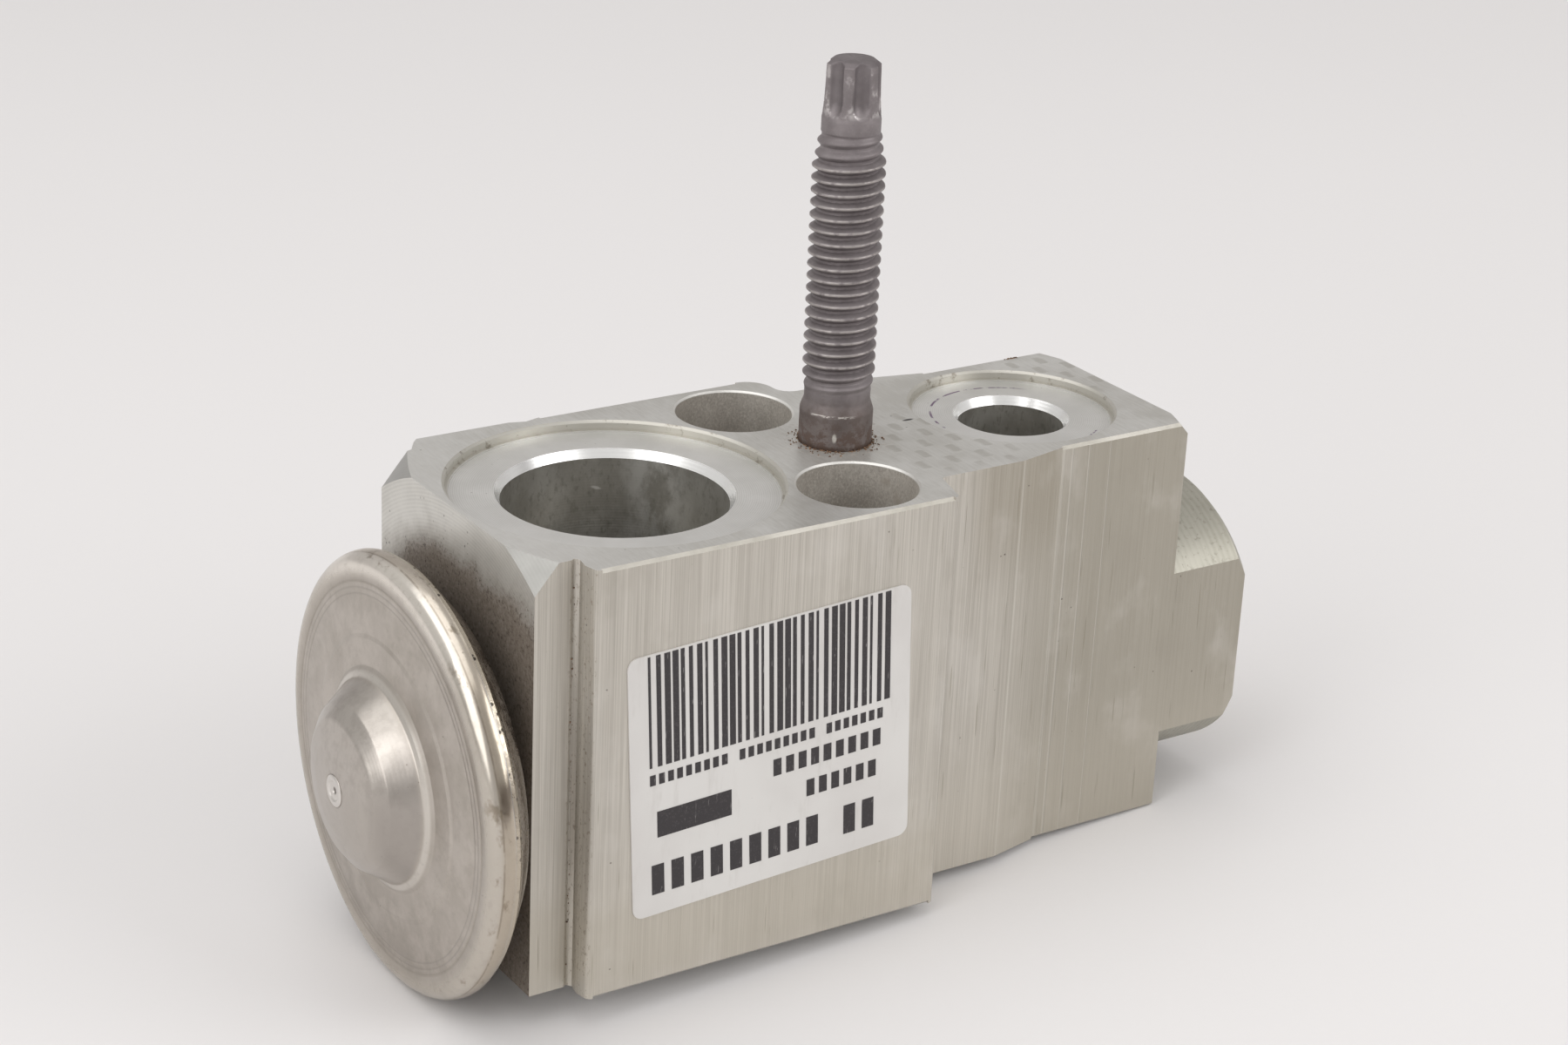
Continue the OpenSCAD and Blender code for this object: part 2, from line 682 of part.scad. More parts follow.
// Push-in ring with sprung tabs, holding the rod seal in its pocket
module seal_retainer() {
    outer = rod_seal_pocket_d - 2 * seat_gap;
    tabs = 6;
    slit_l = 0.8;
    slit_w = 0.5;
    color(steel_grey) along_axis(rod_seal_floor_x - rod_seal_d - retainer_t - 2 * seat_gap)
        difference() {
            disc(outer, 0, retainer_t);
            disc(rod_bore_d + 0.4, -through, retainer_t + through);
            for (i = [0:tabs - 1]) rotate([0, 0, i * 360 / tabs])
                translate([outer / 2 - slit_l, -slit_w / 2, -through])
                    cube([2 * slit_l, slit_w, retainer_t + 2 * through]);
        }
}

module valve_ball() {
    color(steel_grey) along_axis(ball_x) sphere(d = ball_d);
}

// Cup that holds the ball on one side and the spring on the other
module ball_carrier() {
    front_x = ball_x + ball_d * 0.12;
    color(brass_yellow) difference() {
        along_axis(0) rotate_extrude() polygon([
            [0, front_x], [ball_d / 2 + 0.5, front_x], [carrier_d / 2, front_x + 1],
            [carrier_d / 2, carrier_back_x], [spigot_d / 2, carrier_back_x],
            [spigot_d / 2, carrier_back_x + spigot_l - 0.4],
            [spigot_d / 2 - 0.4, carrier_back_x + spigot_l], [0, carrier_back_x + spigot_l]]);
        along_axis(ball_x) sphere(d = ball_d + seat_gap);
    }
}

// Flat ring with sprung legs that rub on the chamber wall and keep the ball from chattering
module damper_spring() {
    legs = 4;
    leg_r = chamber_d / 2 - 2 * running_gap;
    color(steel_grey) along_axis(carrier_back_x) difference() {
        union() {
            disc(carrier_d + 2 * damper_rim_w, 0, damper_t);
            for (i = [0:legs - 1]) rotate([0, 0, 45 + i * 360 / legs]) intersection() {
                union() {
                    difference() {
                        disc(2 * leg_r, -damper_leg_l, damper_t);
                        disc(2 * (leg_r - damper_t), -damper_leg_l - through, damper_t + through);
                    }
                    disc(2 * leg_r, 0, damper_t);
                }
                translate([spring_d / 2, -damper_leg_w / 2, -damper_leg_l])
                    cube([leg_r, damper_leg_w, damper_leg_l + damper_t]);
            }
        }
        disc(spigot_d + 2 * seat_gap, -through, damper_t + through);
    }
}

// Coil spring with a closed turn at each end
module superheat_spring() {
    sides = 8;
    per_turn = 24;
    rings = round(spring_turns * per_turn);
    mean_r = (spring_d - wire_d) / 2;
    free = spring_end_x - spring_start_x - wire_d - 2 * seat_gap;
    end_lift = 0.02;
    lift = function (t) let (u = min(max((t - end_lift) / (1 - 2 * end_lift), 0), 1)) free * u;
    centre = function (i) let (t = i / rings, a = 360 * spring_turns * t)
        [mean_r * cos(a), mean_r * sin(a), lift(t)];
    ring = function (i) let (c = centre(i), a = 360 * spring_turns * i / rings)
        [for (k = [0:sides - 1]) let (b = 360 * k / sides)
            c + wire_d / 2 * [cos(b) * cos(a), cos(b) * sin(a), sin(b)]];
    points = [for (i = [0:rings]) each ring(i)];
    walls = [for (i = [0:rings - 1], k = [0:sides - 1]) let (n = (k + 1) % sides)
        each [[i * sides + k, i * sides + n, (i + 1) * sides + n],
              [i * sides + k, (i + 1) * sides + n, (i + 1) * sides + k]]];
    first = [for (k = [sides - 1:-1:0]) k];
    last = [for (k = [0:sides - 1]) rings * sides + k];
    color(steel_grey) along_axis(spring_start_x + wire_d / 2 + seat_gap)
        polyhedron(points = points, faces = concat(walls, [first, last]), convexity = 8);
}

// Washer with a spigot, between the spring and the adjusting screw
module spring_seat() {
    color(brass_yellow) along_axis(spring_end_x) rotate_extrude() polygon([
        [0, -spigot_l], [spigot_d / 2 - 0.4, -spigot_l], [spigot_d / 2, 0.4 - spigot_l],
        [spigot_d / 2, 0], [spring_d / 2 + 0.6, 0], [spring_d / 2 + 0.6, seat_flange_t],
        [0, seat_flange_t]]);
}

// Adjusting screw, with a groove for its seal ring and a hexagon socket
module adjusting_screw() {
    r = adjuster_d / 2;
    groove_r = r - adjuster_seal_d + seat_gap;
    land = adjuster_land;
    groove_w = adjuster_seal_d + adjuster_groove_gap;
    relief = 0.5;
    color(brass_yellow) along_axis(adjuster_front_x) difference() {
        rotate_extrude() polygon([
            [0, 0], [r - relief, 0], [r, relief], [r, land], [groove_r, land],
            [groove_r, land + groove_w], [r, land + groove_w], [r, adjuster_l - relief],
            [r - relief, adjuster_l], [0, adjuster_l]]);
        translate([0, 0, adjuster_l - hex_l])
            cylinder(d = hex_key / cos(30), h = hex_l + through, $fn = 6);
    }
}

module adjuster_seal() {
    section = adjuster_seal_d - 2 * seat_gap;
    color(rubber_black) along_axis(adjuster_front_x)
        seal_ring(adjuster_d / 2 - adjuster_seal_d / 2 + seat_gap, section,
            adjuster_land + (adjuster_seal_d + adjuster_groove_gap) / 2);
}

valve_block();
clamp_stud();
label();
label_print();
head_cap();
charge_plug();
diaphragm();
head_base();
head_seal();
diaphragm_plate();
push_rod();
rod_seal();
seal_retainer();
valve_ball();
ball_carrier();
damper_spring();
superheat_spring();
spring_seat();
adjusting_screw();
adjuster_seal();
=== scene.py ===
# %% [markdown]
# A block expansion valve, dressed for its picture.
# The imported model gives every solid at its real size. This script gives each of them the surface
# that the real one shows: a drawn and milled aluminium block, a dull phosphated stud with a true
# thread, a pressed stainless head and a printed film label.
# All places are metres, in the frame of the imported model: X runs from the head to the boss,
# Z towards the stud, and the origin lies between the two screw holes. Sizes are written in
# millimetres and multiplied by MM.

# %% Load the frame
import json
import math

import bmesh
import bpy
import numpy as np
from mathutils import Matrix, Vector


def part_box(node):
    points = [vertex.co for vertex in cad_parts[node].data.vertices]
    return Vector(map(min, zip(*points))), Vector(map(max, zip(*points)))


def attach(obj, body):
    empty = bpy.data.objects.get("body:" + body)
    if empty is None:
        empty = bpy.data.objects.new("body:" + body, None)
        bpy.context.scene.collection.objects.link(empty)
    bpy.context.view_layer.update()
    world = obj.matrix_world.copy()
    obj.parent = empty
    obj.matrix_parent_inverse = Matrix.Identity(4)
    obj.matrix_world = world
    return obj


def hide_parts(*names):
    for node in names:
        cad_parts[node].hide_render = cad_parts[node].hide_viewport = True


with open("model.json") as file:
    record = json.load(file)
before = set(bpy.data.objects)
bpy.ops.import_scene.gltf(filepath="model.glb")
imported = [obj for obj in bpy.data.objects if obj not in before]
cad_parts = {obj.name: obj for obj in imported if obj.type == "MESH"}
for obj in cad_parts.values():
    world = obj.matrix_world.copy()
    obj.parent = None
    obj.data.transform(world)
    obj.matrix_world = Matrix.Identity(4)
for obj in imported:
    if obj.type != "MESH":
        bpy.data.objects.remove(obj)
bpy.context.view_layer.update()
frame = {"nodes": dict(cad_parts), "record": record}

MM = 0.001
nodes = frame["nodes"]

# %% [markdown]
# Every main place below is read from the solids, so that a piece made here sits on what carries
# it. The valve axis is the axis of the ball, and the stud's axis is that of its own solid.

# %% Read the main places from the solids
block_low, block_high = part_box("valve_block")
head_low, head_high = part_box("head_cap")
stud_low, stud_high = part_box("clamp_stud")
ball_low, ball_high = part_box("valve_ball")

TOP = block_high.z
END = block_low.x
BOSS_END = block_high.x
TAIL_END = BOSS_END - 8.0 * MM
AXIS_Z = (ball_low.z + ball_high.z) / 2
STUD_X = (stud_low.x + stud_high.x) / 2
mount_x = {mount["name"]: mount["pos_m"][0] for mount in frame["record"]["mounts"]}
SUCTION_X = mount_x["suction_port_pipe_side"]
LIQUID_X = mount_x["liquid_port_pipe_side"]
OUTLET_X = mount_x["liquid_port_evaporator_side"]
print("block top", round(TOP, 5), "end", round(END, 5), "axis height", round(AXIS_Z, 5))

# %% [markdown]
# The camera repeats the photograph: a long lens, looking down at about twenty degrees on the
# labelled side and the head. Its place and its direction were worked out from the block's own
# edges, and are written here as a place, a direction and a small roll.

# %% Camera
CAMERA_PLACE = Vector((-0.13227, -0.19662, 0.12574))
CAMERA_FORWARD = Vector((0.51504, 0.76922, -0.37820))
CAMERA_ROLL = math.radians(2.66)
FOCAL_PIXELS = 3653.1
FRAME_PIXELS = 1800
SENSOR = 36.0


def add_camera():
    """Looks along a direction: right is forward x up, then the roll turns right and up about it."""
    forward = CAMERA_FORWARD.normalized()
    right = forward.cross(Vector((0, 0, 1))).normalized()
    up = right.cross(forward)
    turned_right = right * math.cos(CAMERA_ROLL) + up * math.sin(CAMERA_ROLL)
    turned_up = up * math.cos(CAMERA_ROLL) - right * math.sin(CAMERA_ROLL)
    data = bpy.data.cameras.new("camera")
    data.sensor_width = SENSOR
    data.lens = FOCAL_PIXELS / FRAME_PIXELS * SENSOR
    data.clip_start = 0.01
    camera = bpy.data.objects.new("camera", data)
    axes = Matrix((turned_right, turned_up, -forward)).transposed().to_4x4()
    camera.matrix_world = Matrix.Translation(CAMERA_PLACE) @ axes
    bpy.context.scene.collection.objects.link(camera)
    bpy.context.scene.camera = camera
    return camera


camera = add_camera()
print("lens", round(camera.data.lens, 2), "mm")

# %% [markdown]
# Shader sums are written as Python sums. A Number wraps one socket, and each operator on it adds
# the Math node that does the same. Only numbers go through it: colours are mixed by Mix nodes,
# because a Math node would turn a colour grey.

# %% A number in a material


class Number:
    """A number socket in a material. Python's operators on it add Math nodes."""

    def __init__(self, finish, socket):
        self.finish = finish
        self.socket = socket

    def math(self, operation, *others):
        """Adds one Math node with this number first and the others after it."""
        node = self.finish.node("ShaderNodeMath", {"operation": operation},
                                {i: other for i, other in enumerate((self, *others))})
        return Number(self.finish, node.outputs[0])

    def __add__(self, other):
        return self.math("ADD", other)

    __radd__ = __add__

    def __sub__(self, other):
        return self.math("SUBTRACT", other)

    def __rsub__(self, other):
        """The plain number first, for sums such as 1 - mask."""
        node = self.finish.node("ShaderNodeMath", {"operation": "SUBTRACT"}, {0: other, 1: self})
        return Number(self.finish, node.outputs[0])

    def __mul__(self, other):
        return self.math("MULTIPLY", other)

    __rmul__ = __mul__

    def __truediv__(self, other):
        return self.math("DIVIDE", other)

    def __pow__(self, other):
        return self.math("POWER", other)

    def __abs__(self):
        return self.math("ABSOLUTE")

    def wave(self, length):
        """A cosine of this number, one rise and fall for each length, from -1 to 1."""
        return (self * (2 * math.pi / length)).math("COSINE")

    def angle(self, across):
        """The turn in radians of a point with this height over that distance across."""
        return self.math("ARCTAN2", across)

    def high(self, other):
        return self.math("MAXIMUM", other)

    def low(self, other):
        return self.math("MINIMUM", other)

    def between(self, start, end):
        """0 below start, 1 above end, and a smooth rise from one to the other."""
        node = self.finish.node("ShaderNodeMapRange",
                                {"interpolation_type": "SMOOTHSTEP", "clamp": True},
                                {"Value": self, "From Min": start, "From Max": end})
        return Number(self.finish, node.outputs[0])

    def near(self, middle, half_width, soft):
        """1 within half a width of the middle, falling to 0 over a soft edge."""
        return 1.0 - abs(self - middle).between(half_width, half_width + soft)


# %% [markdown]
# A Finish is one material. It has one general way to add a node, and short methods for what
# nearly every metal here needs: its own coordinates, stretched noise for drawn lines and streaks,
# coats of colour over each other, and a bump from a height. The sizes of spots are given in
# millimetres, because that is how one thinks of grain and dirt.

# %% A material and its nodes


class Finish:
    """One material with a Principled shader, built by calls."""

    def __init__(self, name):
        self.material = bpy.data.materials.new(name)
        self.material.use_nodes = True
        self.tree = self.material.node_tree
        self.shader = self.tree.nodes["Principled BSDF"]
        self.place = self.node("ShaderNodeTexCoord").outputs["Object"]

    def node(self, kind, settings=None, values=None):
        """Adds a node. Settings are set first, then each input by its name or number."""
        node = self.tree.nodes.new(kind)
        for name, value in (settings or {}).items():
            setattr(node, name, value)
        for key, value in (values or {}).items():
            self.put(node.inputs[key], value)
        return node

    def put(self, socket, value):
        """Links a Number or a socket, or sets a plain value."""
        if isinstance(value, Number):
            value = value.socket
        if isinstance(value, bpy.types.NodeSocket):
            self.tree.links.new(value, socket)
        else:
            socket.default_value = value

    def set(self, **inputs):
        """Feeds the shader: Base_Color stands for Base Color, and so on."""
        for name, value in inputs.items():
            self.put(self.shader.inputs[name.replace("_", " ")], value)

    def axis(self, name, centre=0.0):
        """One object coordinate in millimetres, from a centre given in metres."""
        split = self.node("ShaderNodeSeparateXYZ", values={0: self.place})
        return (Number(self, split.outputs[name]) - centre) * (1 / MM)

    def distance(self, first, second):
        """Distance from an axis, from the two coordinates across it."""
        return (first * first + second * second) ** 0.5

    def noise(self, size, detail=3.0, rough=0.5, where=None):
        """Cloud noise near 0 to 1. Its spots are size millimetres wide along X, Y and Z."""
        if where is None:
            scale = [1 / (MM * s) for s in size]
            where = self.node("ShaderNodeVectorMath", {"operation": "MULTIPLY"},
                              {0: self.place, 1: scale}).outputs[0]
        node = self.node("ShaderNodeTexNoise", {"noise_dimensions": "3D"},
                         {"Vector": where, "Scale": 1.0, "Detail": detail, "Roughness": rough})
        return Number(self, node.outputs[0])

    def specks(self, spacing, radius, patches=4.0, share=0.5):
        """Round spots of a radius in millimetres, one for each spacing, shown only in patches."""
        node = self.node("ShaderNodeTexVoronoi", {"feature": "F1"},
                         {"Vector": self.place, "Scale": 1 / (MM * spacing)})
        spot = 1.0 - Number(self, node.outputs["Distance"]).between(
            0.5 * radius / spacing, radius / spacing)
        return spot * self.noise((patches,) * 3, 3.0, 0.6).between(share, share + 0.1)

    def coats(self, base, *coats):
        """Lays coats over a colour. Each coat is a mask and a colour."""
        for mask, over in coats:
            base = self.node("ShaderNodeMix", {"data_type": "RGBA"},
                             {0: mask, 6: colour(base), 7: colour(over)}).outputs[2]
        return base

    def bump(self, height, depth_mm):
        """A normal from a height, where a rise of 1 is a real height in millimetres."""
        return self.node("ShaderNodeBump", values={"Height": height, "Distance": depth_mm * MM,
                                                   "Strength": 1.0}).outputs[0]


def colour(value):
    """Turns a written #rrggbb colour into the linear one that a shader needs."""
    if not isinstance(value, str):
        return value
    parts = [int(value[i:i + 2], 16) / 255 for i in (1, 3, 5)]
    linear = [c / 12.92 if c <= 0.04045 else ((c + 0.055) / 1.055) ** 2.4 for c in parts]
    return (*linear, 1.0)


# %% [markdown]
# The side faces of the block are as the extrusion press left them. The die draws fine lines along
# the block's height, so the noise is stretched hard along Z: long thin streaks in colour, in
# roughness and in a very shallow bump. A few bright ridges, darker scratches and pits lie over
# them, and dirt has collected in the groove beside the strip. The lower part of each side is
# painted lighter, as painted light.

# %% Drawn side faces
GROOVE_X = -26.75
RIDGES = ((7.35, 0.10), (14.9, 0.12), (19.6, 0.16), (20.5, 0.10), (22.2, 0.08), (24.4, 0.06))


def drawn_aluminium():
    finish = Finish("drawn aluminium")
    x, y, z = finish.axis("X"), finish.axis("Y"), finish.axis("Z")
    fine = finish.noise((0.10, 0.10, 13), 2.0)
    lines = finish.noise((0.34, 0.34, 60), 3.0, 0.6)
    bands = finish.noise((1.9, 1.9, 120), 2.0)
    cloud = finish.noise((6, 6, 9), 4.0, 0.6)
    scratch = finish.noise((0.20, 0.20, 7), 1.0).between(0.70, 0.77)
    pits = finish.specks(1.15, 0.10, 3.0, 0.54)
    tone = (fine * 0.55 + lines * 0.28 + bands * 0.17).between(0.34, 0.66)
    ridge = None
    for place, half_width in RIDGES:
        line = x.near(place, half_width * 0.4, half_width)
        ridge = line if ridge is None else ridge.high(line)
    ridge = ridge * lines.between(0.3, 0.5)
    groove = x.near(GROOVE_X, 0.25, 0.35) * (0.0 - y).between(8.0, 11.0)
    crust = groove * finish.noise((0.22, 0.22, 0.5), 4.0, 0.7).between(0.56, 0.66)
    tail = x.between(9.0, 24.0)
    # painted light: this mask makes the lower part of the side lighter
    wear_and_painted_light = 1.0 - z.between(2.0, 16.0)
    waist_top = x.near(15.0, 3.0, 3.0) * z.between(22.0, 32.0)
    below_label = z.near(4.0, 2.0, 3.0) * (1.0 - x.between(5.0, 7.0))
    base = finish.coats("#b3aea5", (tone, "#cac5bc"), (tail * 0.8, "#a09a8d"),
                        (below_label * 0.3, "#a8a192"), (waist_top * 0.45, "#938a79"),
                        (cloud.between(0.52, 0.72) * 0.25, "#d8d4ce"),
                        ((1.0 - cloud.between(0.30, 0.46)) * 0.25, "#9d978b"),
                        (wear_and_painted_light * 0.3, "#cfc8ba"), (scratch * 0.45, "#98917f"),
                        (ridge * 0.35, "#d6d2c9"), (crust * 0.7, "#7d6c59"),
                        (pits * 0.75, "#5d554e"))
    height = fine * 0.6 + lines * 0.9 - scratch * 1.2 - pits * 2.0 + ridge * 1.5
    finish.set(Base_Color=base, Metallic=0.62 - crust * 0.4,
               Roughness=0.42 - tone * 0.06 + scratch * 0.1 + crust * 0.2,
               Normal=finish.bump(height, 0.016))
    return finish.material


# %% [markdown]
# The stud-side face was milled and then lived under a pipe flange. It is smoother than the sides.
# Between the stud and the small port, and in the far corner, the flange has left rows of short
# grey rub marks. They stand in a staggered lattice: a cosine along the block times a clipped
# cosine across it changes sign from row to row, and only its tops are kept as marks.

# %% Milled port faces
MARK_X, MARK_Y = 12.84, -3.96
MARK_PITCH_X, MARK_PITCH_Y = 2.95, 4.0


def milled_aluminium():
    finish = Finish("milled aluminium")
    x, y, z = finish.axis("X"), finish.axis("Y"), finish.axis("Z")
    grain = finish.noise((0.22, 1.6, 1.6), 3.0)
    cloud = finish.noise((8, 6, 8), 5.0, 0.62)
    uneven = finish.noise((0.9, 0.9, 0.9), 3.0, 0.6)
    row = ((y - MARK_Y).wave(MARK_PITCH_Y) * 2.0).high(-1.0).low(1.0)
    lattice = (x - MARK_X).wave(MARK_PITCH_X) * row + (uneven - 0.5) * 0.9
    by_stud = x.near(11.0, 3.6, 2.6) * y.near(-3.6, 5.2, 2.4)
    far_corner = x.near(29.6, 2.6, 1.8) * y.near(4.5, 3.6, 2.2)
    smudge = lattice.between(0.42, 0.95) * by_stud.high(far_corner) * z.between(34.0, 35.0)
    film = finish.distance(x * MM - STUD_X, y * MM) * (1 / MM)
    film = (1.0 - film.between(3.0, 5.6)) * finish.noise((0.5, 0.5, 0.5), 4.0, 0.7).between(0.5, 0.66)
    dirt = finish.noise((3.5, 3.5, 3.5), 4.0, 0.7).between(0.6, 0.8)
    pits = finish.specks(1.1, 0.10, 4.0, 0.56)
    dash = finish.distance((x - 11.74) * 0.45, (y - 0.99) * 1.3).between(0.14, 0.3)
    head_side = 1.0 - x.between(-29.5, -18.0)
    base = finish.coats("#c4c2bc", ((grain * 0.3 + cloud * 0.7).between(0.34, 0.66), "#d8d7d3"),
                        (head_side * 0.4, "#e2e1de"), (dirt * 0.3, "#aeaaa2"),
                        (smudge * 0.5, "#a29e96"), (film * 0.45, "#8f7a66"),
                        (pits * 0.75, "#5a544d"), ((1.0 - dash) * z.between(34.0, 35.0), "#2e2a28"))
    finish.set(Base_Color=base, Metallic=0.66 - film * 0.4,
               Roughness=0.36 + smudge * 0.14 + dirt * 0.15,
               Normal=finish.bump(grain * 0.5 + cloud * 0.4 - pits * 2.0 + smudge * 0.6, 0.010))
    return finish.material


# %% [markdown]
# What a lathe or a boring tool has cut shows rings. The height is a cosine of the distance from
# the tool's axis, roughened by noise, and the same rings shift the colour a little. In a port's
# recess the floor is pale and smooth, the lead-in ring of the bore is brightest, and a thin
# broken ring of a marker's ink is left on the floor round the small port. The recess wall is
# painted darker, as painted shade.

# %% Turned rings about an axis


def ring_marks(finish, radius, pitch):
    """Rings at a pitch in millimetres, near 0 to 1, with uneven depth from noise."""
    where = finish.node("ShaderNodeCombineXYZ", values={0: radius * (1.3 / pitch)}).outputs[0]
    return radius.wave(pitch) * 0.25 + 0.25 + finish.noise(None, 2.0, where=where) * 0.5


def recess_aluminium(name, centre_x, bore_r, seat_r, ink=False):
    """The floor, wall and lead-in ring of a port's recess, cut about the port's axis."""
    finish = Finish(name)
    x, y, depth = finish.axis("X", centre_x), finish.axis("Y"), finish.axis("Z", TOP)
    radius = finish.distance(x, y)
    rings = ring_marks(finish, radius, 0.17)
    cloud = finish.noise((5, 5, 5), 4.0, 0.6)
    # painted shade: the recess wall is painted darker, and dirt gathers on it too
    wall = radius.between(seat_r - 0.35, seat_r - 0.2)
    lead_in = 1.0 - radius.between(bore_r + 0.4, bore_r + 0.5)
    dirt = finish.noise((1.3, 1.3, 1.3), 4.0, 0.7).between(0.58, 0.70) * wall
    specks = finish.specks(0.8, 0.09, 2.5, 0.54)
    base = finish.coats("#d0cfcb", ((rings * 0.35 + cloud * 0.65).between(0.34, 0.66), "#dfdedb"),
                        (lead_in * 0.9, "#f4f4f3"), (wall * 0.7, "#bcb8ad"),
                        (dirt * 0.6, "#7a6f60"), (specks * 0.5, "#6a6259"))
    if ink:
        turn = y.angle(x)
        wear_and_painted_light = finish.noise((0.8, 0.8, 0.8), 3.0, 0.7).between(0.40, 0.56)
        long_arc = radius.near(6.75, 0.05, 0.09) * turn.near(2.0, 1.05, 0.25)
        short_arc = radius.near(7.4, 0.04, 0.08) * turn.near(-1.03, 0.07, 0.05)
        base = finish.coats(base, (long_arc.high(short_arc) * wear_and_painted_light * 0.95, "#705576"))
    finish.set(Base_Color=base, Metallic=0.68, Roughness=0.32 + cloud * 0.08 - lead_in * 0.1,
               Normal=finish.bump(rings, 0.006))
    return finish.material


# %% [markdown]
# The bores are smooth and dark, with a tool's rings down the wall, thin patches of film and a few
# bright scratches. The pockets for the screw heads were drilled with a blunter tool: their walls
# are paler, dull and speckled all over.

# %% Bored and drilled walls


def bored_aluminium():
    finish = Finish("bored aluminium")
    x, y, z = finish.axis("X"), finish.axis("Y"), finish.axis("Z")
    rings = z.wave(0.24) * 0.5 + 0.5
    uneven = finish.noise((12, 12, 0.18), 2.0)
    film = finish.noise((3.2, 3.2, 5.0), 5.0, 0.7)
    grit = finish.noise((0.45, 0.45, 0.8), 3.0, 0.6)
    scratch = finish.distance((x + 13.3) * 0.8, (z - 31.4) * 2.2 + x * 0.6 + 8.0).between(0.15, 0.4)
    mark = (1.0 - scratch) * y.between(0.0, 4.0)
    gleam = x.near(-9.6, 0.6, 1.6) * y.between(1.5, 4.0) * film.between(0.36, 0.56)
    base = finish.coats("#b4b1aa", (film.between(0.36, 0.66), "#cccac4"),
                        (grit.between(0.52, 0.70) * 0.45, "#8a867d"),
                        (film.between(0.60, 0.72) * grit.between(0.4, 0.6) * 0.4, "#7d7468"),
                        (gleam * 0.7, "#e9e8e4"), (mark * 0.8, "#f2f1ee"))
    finish.set(Base_Color=base, Metallic=0.85, Roughness=0.24 + film * 0.14 + grit * 0.06,
               Normal=finish.bump(rings * 0.25 + uneven * 0.6 + grit * 0.3, 0.010))
    return finish.material


def drilled_aluminium():
    finish = Finish("drilled aluminium")
    z = finish.axis("Z")
    grain = finish.noise((0.16, 0.16, 0.22), 3.0, 0.7)
    uneven = finish.noise((6, 6, 0.25), 2.0)
    cloud = finish.noise((3, 3, 3), 4.0, 0.6)
    mouth = z.between(TOP / MM - 0.25, TOP / MM - 0.12)
    base = finish.coats("#b5afa7", ((grain * 0.6 + cloud * 0.4).between(0.36, 0.62), "#d3cec6"),
                        (grain.between(0.60, 0.70) * 0.5, "#e6e2da"),
                        (cloud.between(0.60, 0.75) * 0.4, "#9d8f80"), (mouth * 0.8, "#e9e8e4"))
    finish.set(Base_Color=base, Metallic=0.56, Roughness=0.40 + grain * 0.12 - mouth * 0.12,
               Normal=finish.bump(grain * 0.7 + uneven * 0.5, 0.016))
    return finish.material


# %% [markdown]
# The end face under the head was turned on the lathe together with the two corners beside it, so
# its rings run about the valve axis. Oil and dust have baked onto it behind the head: a brown
# stain that is darkest next to the rim, breaks up into specks and fades upwards. The same stain
# also stands in for the head's shade on the face: it is painted shade as well, and on the near
# side it reaches further out. The boss at the other end is turned as well, but dull and speckled
# with handling.

# %% Turned faces


def turned_aluminium(name, dark, light, stain_and_shade_amount=0.0, metallic=0.66, rough=0.36, speckled=0.0,
                     ringed=1.0):
    """Rings about the valve axis, with a stain that is also painted shade beside the head, and specks;
    two arguments say how much of each lies on them.
    """
    finish = Finish(name)
    x, y, z = finish.axis("X"), finish.axis("Y"), finish.axis("Z", AXIS_Z)
    radius = finish.distance(y, z)
    rings = ring_marks(finish, radius + x * 0.5, 0.30)
    cloud = finish.noise((7, 7, 7), 5.0, 0.62)
    tone = rings * (0.25 * ringed) + cloud * (1.0 - 0.25 * ringed)
    base = finish.coats(dark, (tone.between(0.34, 0.64), light))
    height = rings * (0.6 * ringed) + cloud * 0.3
    stain_and_shade = None
    if stain_and_shade_amount:
        grit = finish.noise((0.30, 0.30, 0.30), 4.0, 0.75)
        # painted shade: beside the head, on the near side, the stain reaches further out from the axis
        painted_shade_beside = (0.0 - y).between(4.0, 12.0) * 2.6
        body = 1.0 - (radius + (cloud - 0.5) * 4.0 - painted_shade_beside).between(16.2, 20.2)
        # this mask is real stain and the head's painted shade together
        stain_and_shade = (body * (0.55 + grit * 0.9)).low(1.0) * stain_and_shade_amount
        crust = grit.between(0.54, 0.66) * body.between(0.3, 0.9)
        drops = finish.specks(0.75, 0.12, 2.2, 0.44) * (1.0 - radius.between(19.0, 22.5))
        base = finish.coats(base, (stain_and_shade * 0.9, "#6a5d50"), (crust * 0.7, "#3d342c"),
                            (drops * 0.7, "#41372f"))
        height = height + grit * stain_and_shade * 2.0
    if speckled:
        spots = finish.noise((0.5, 0.5, 0.5), 3.0, 0.7).between(0.56, 0.68)
        base = finish.coats(base, (spots * speckled, "#7f7a6e"),
                            (finish.specks(0.9, 0.10, 3.0, 0.5) * speckled, "#5b554c"))
        height = height - spots * 0.5
    finish.set(Base_Color=base, Metallic=metallic if stain_and_shade is None else metallic - stain_and_shade * 0.45,
               Roughness=rough if stain_and_shade is None else rough + stain_and_shade * 0.3,
               Normal=finish.bump(height, 0.010))
    return finish.material


# %% [markdown]
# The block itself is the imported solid: a copy of it is welded together, its flat stretches are
# joined into single faces, and a bevel of a tenth of a millimetre breaks the edges, because it is
# the light on the edges that makes metal look like metal. Each face then takes the finish of the
# tool that made it, worked out from where the face lies and which way it looks.

# %% Find the finish of each face
(DRAWN, MILLED, SUCTION_RECESS, LIQUID_RECESS, BORED, DRILLED, STAIN_AND_SHADE_END, CUT_CORNER,
 BROKEN_EDGE, TURNED_BOSS) = range(10)
HAIR = 0.02 * MM


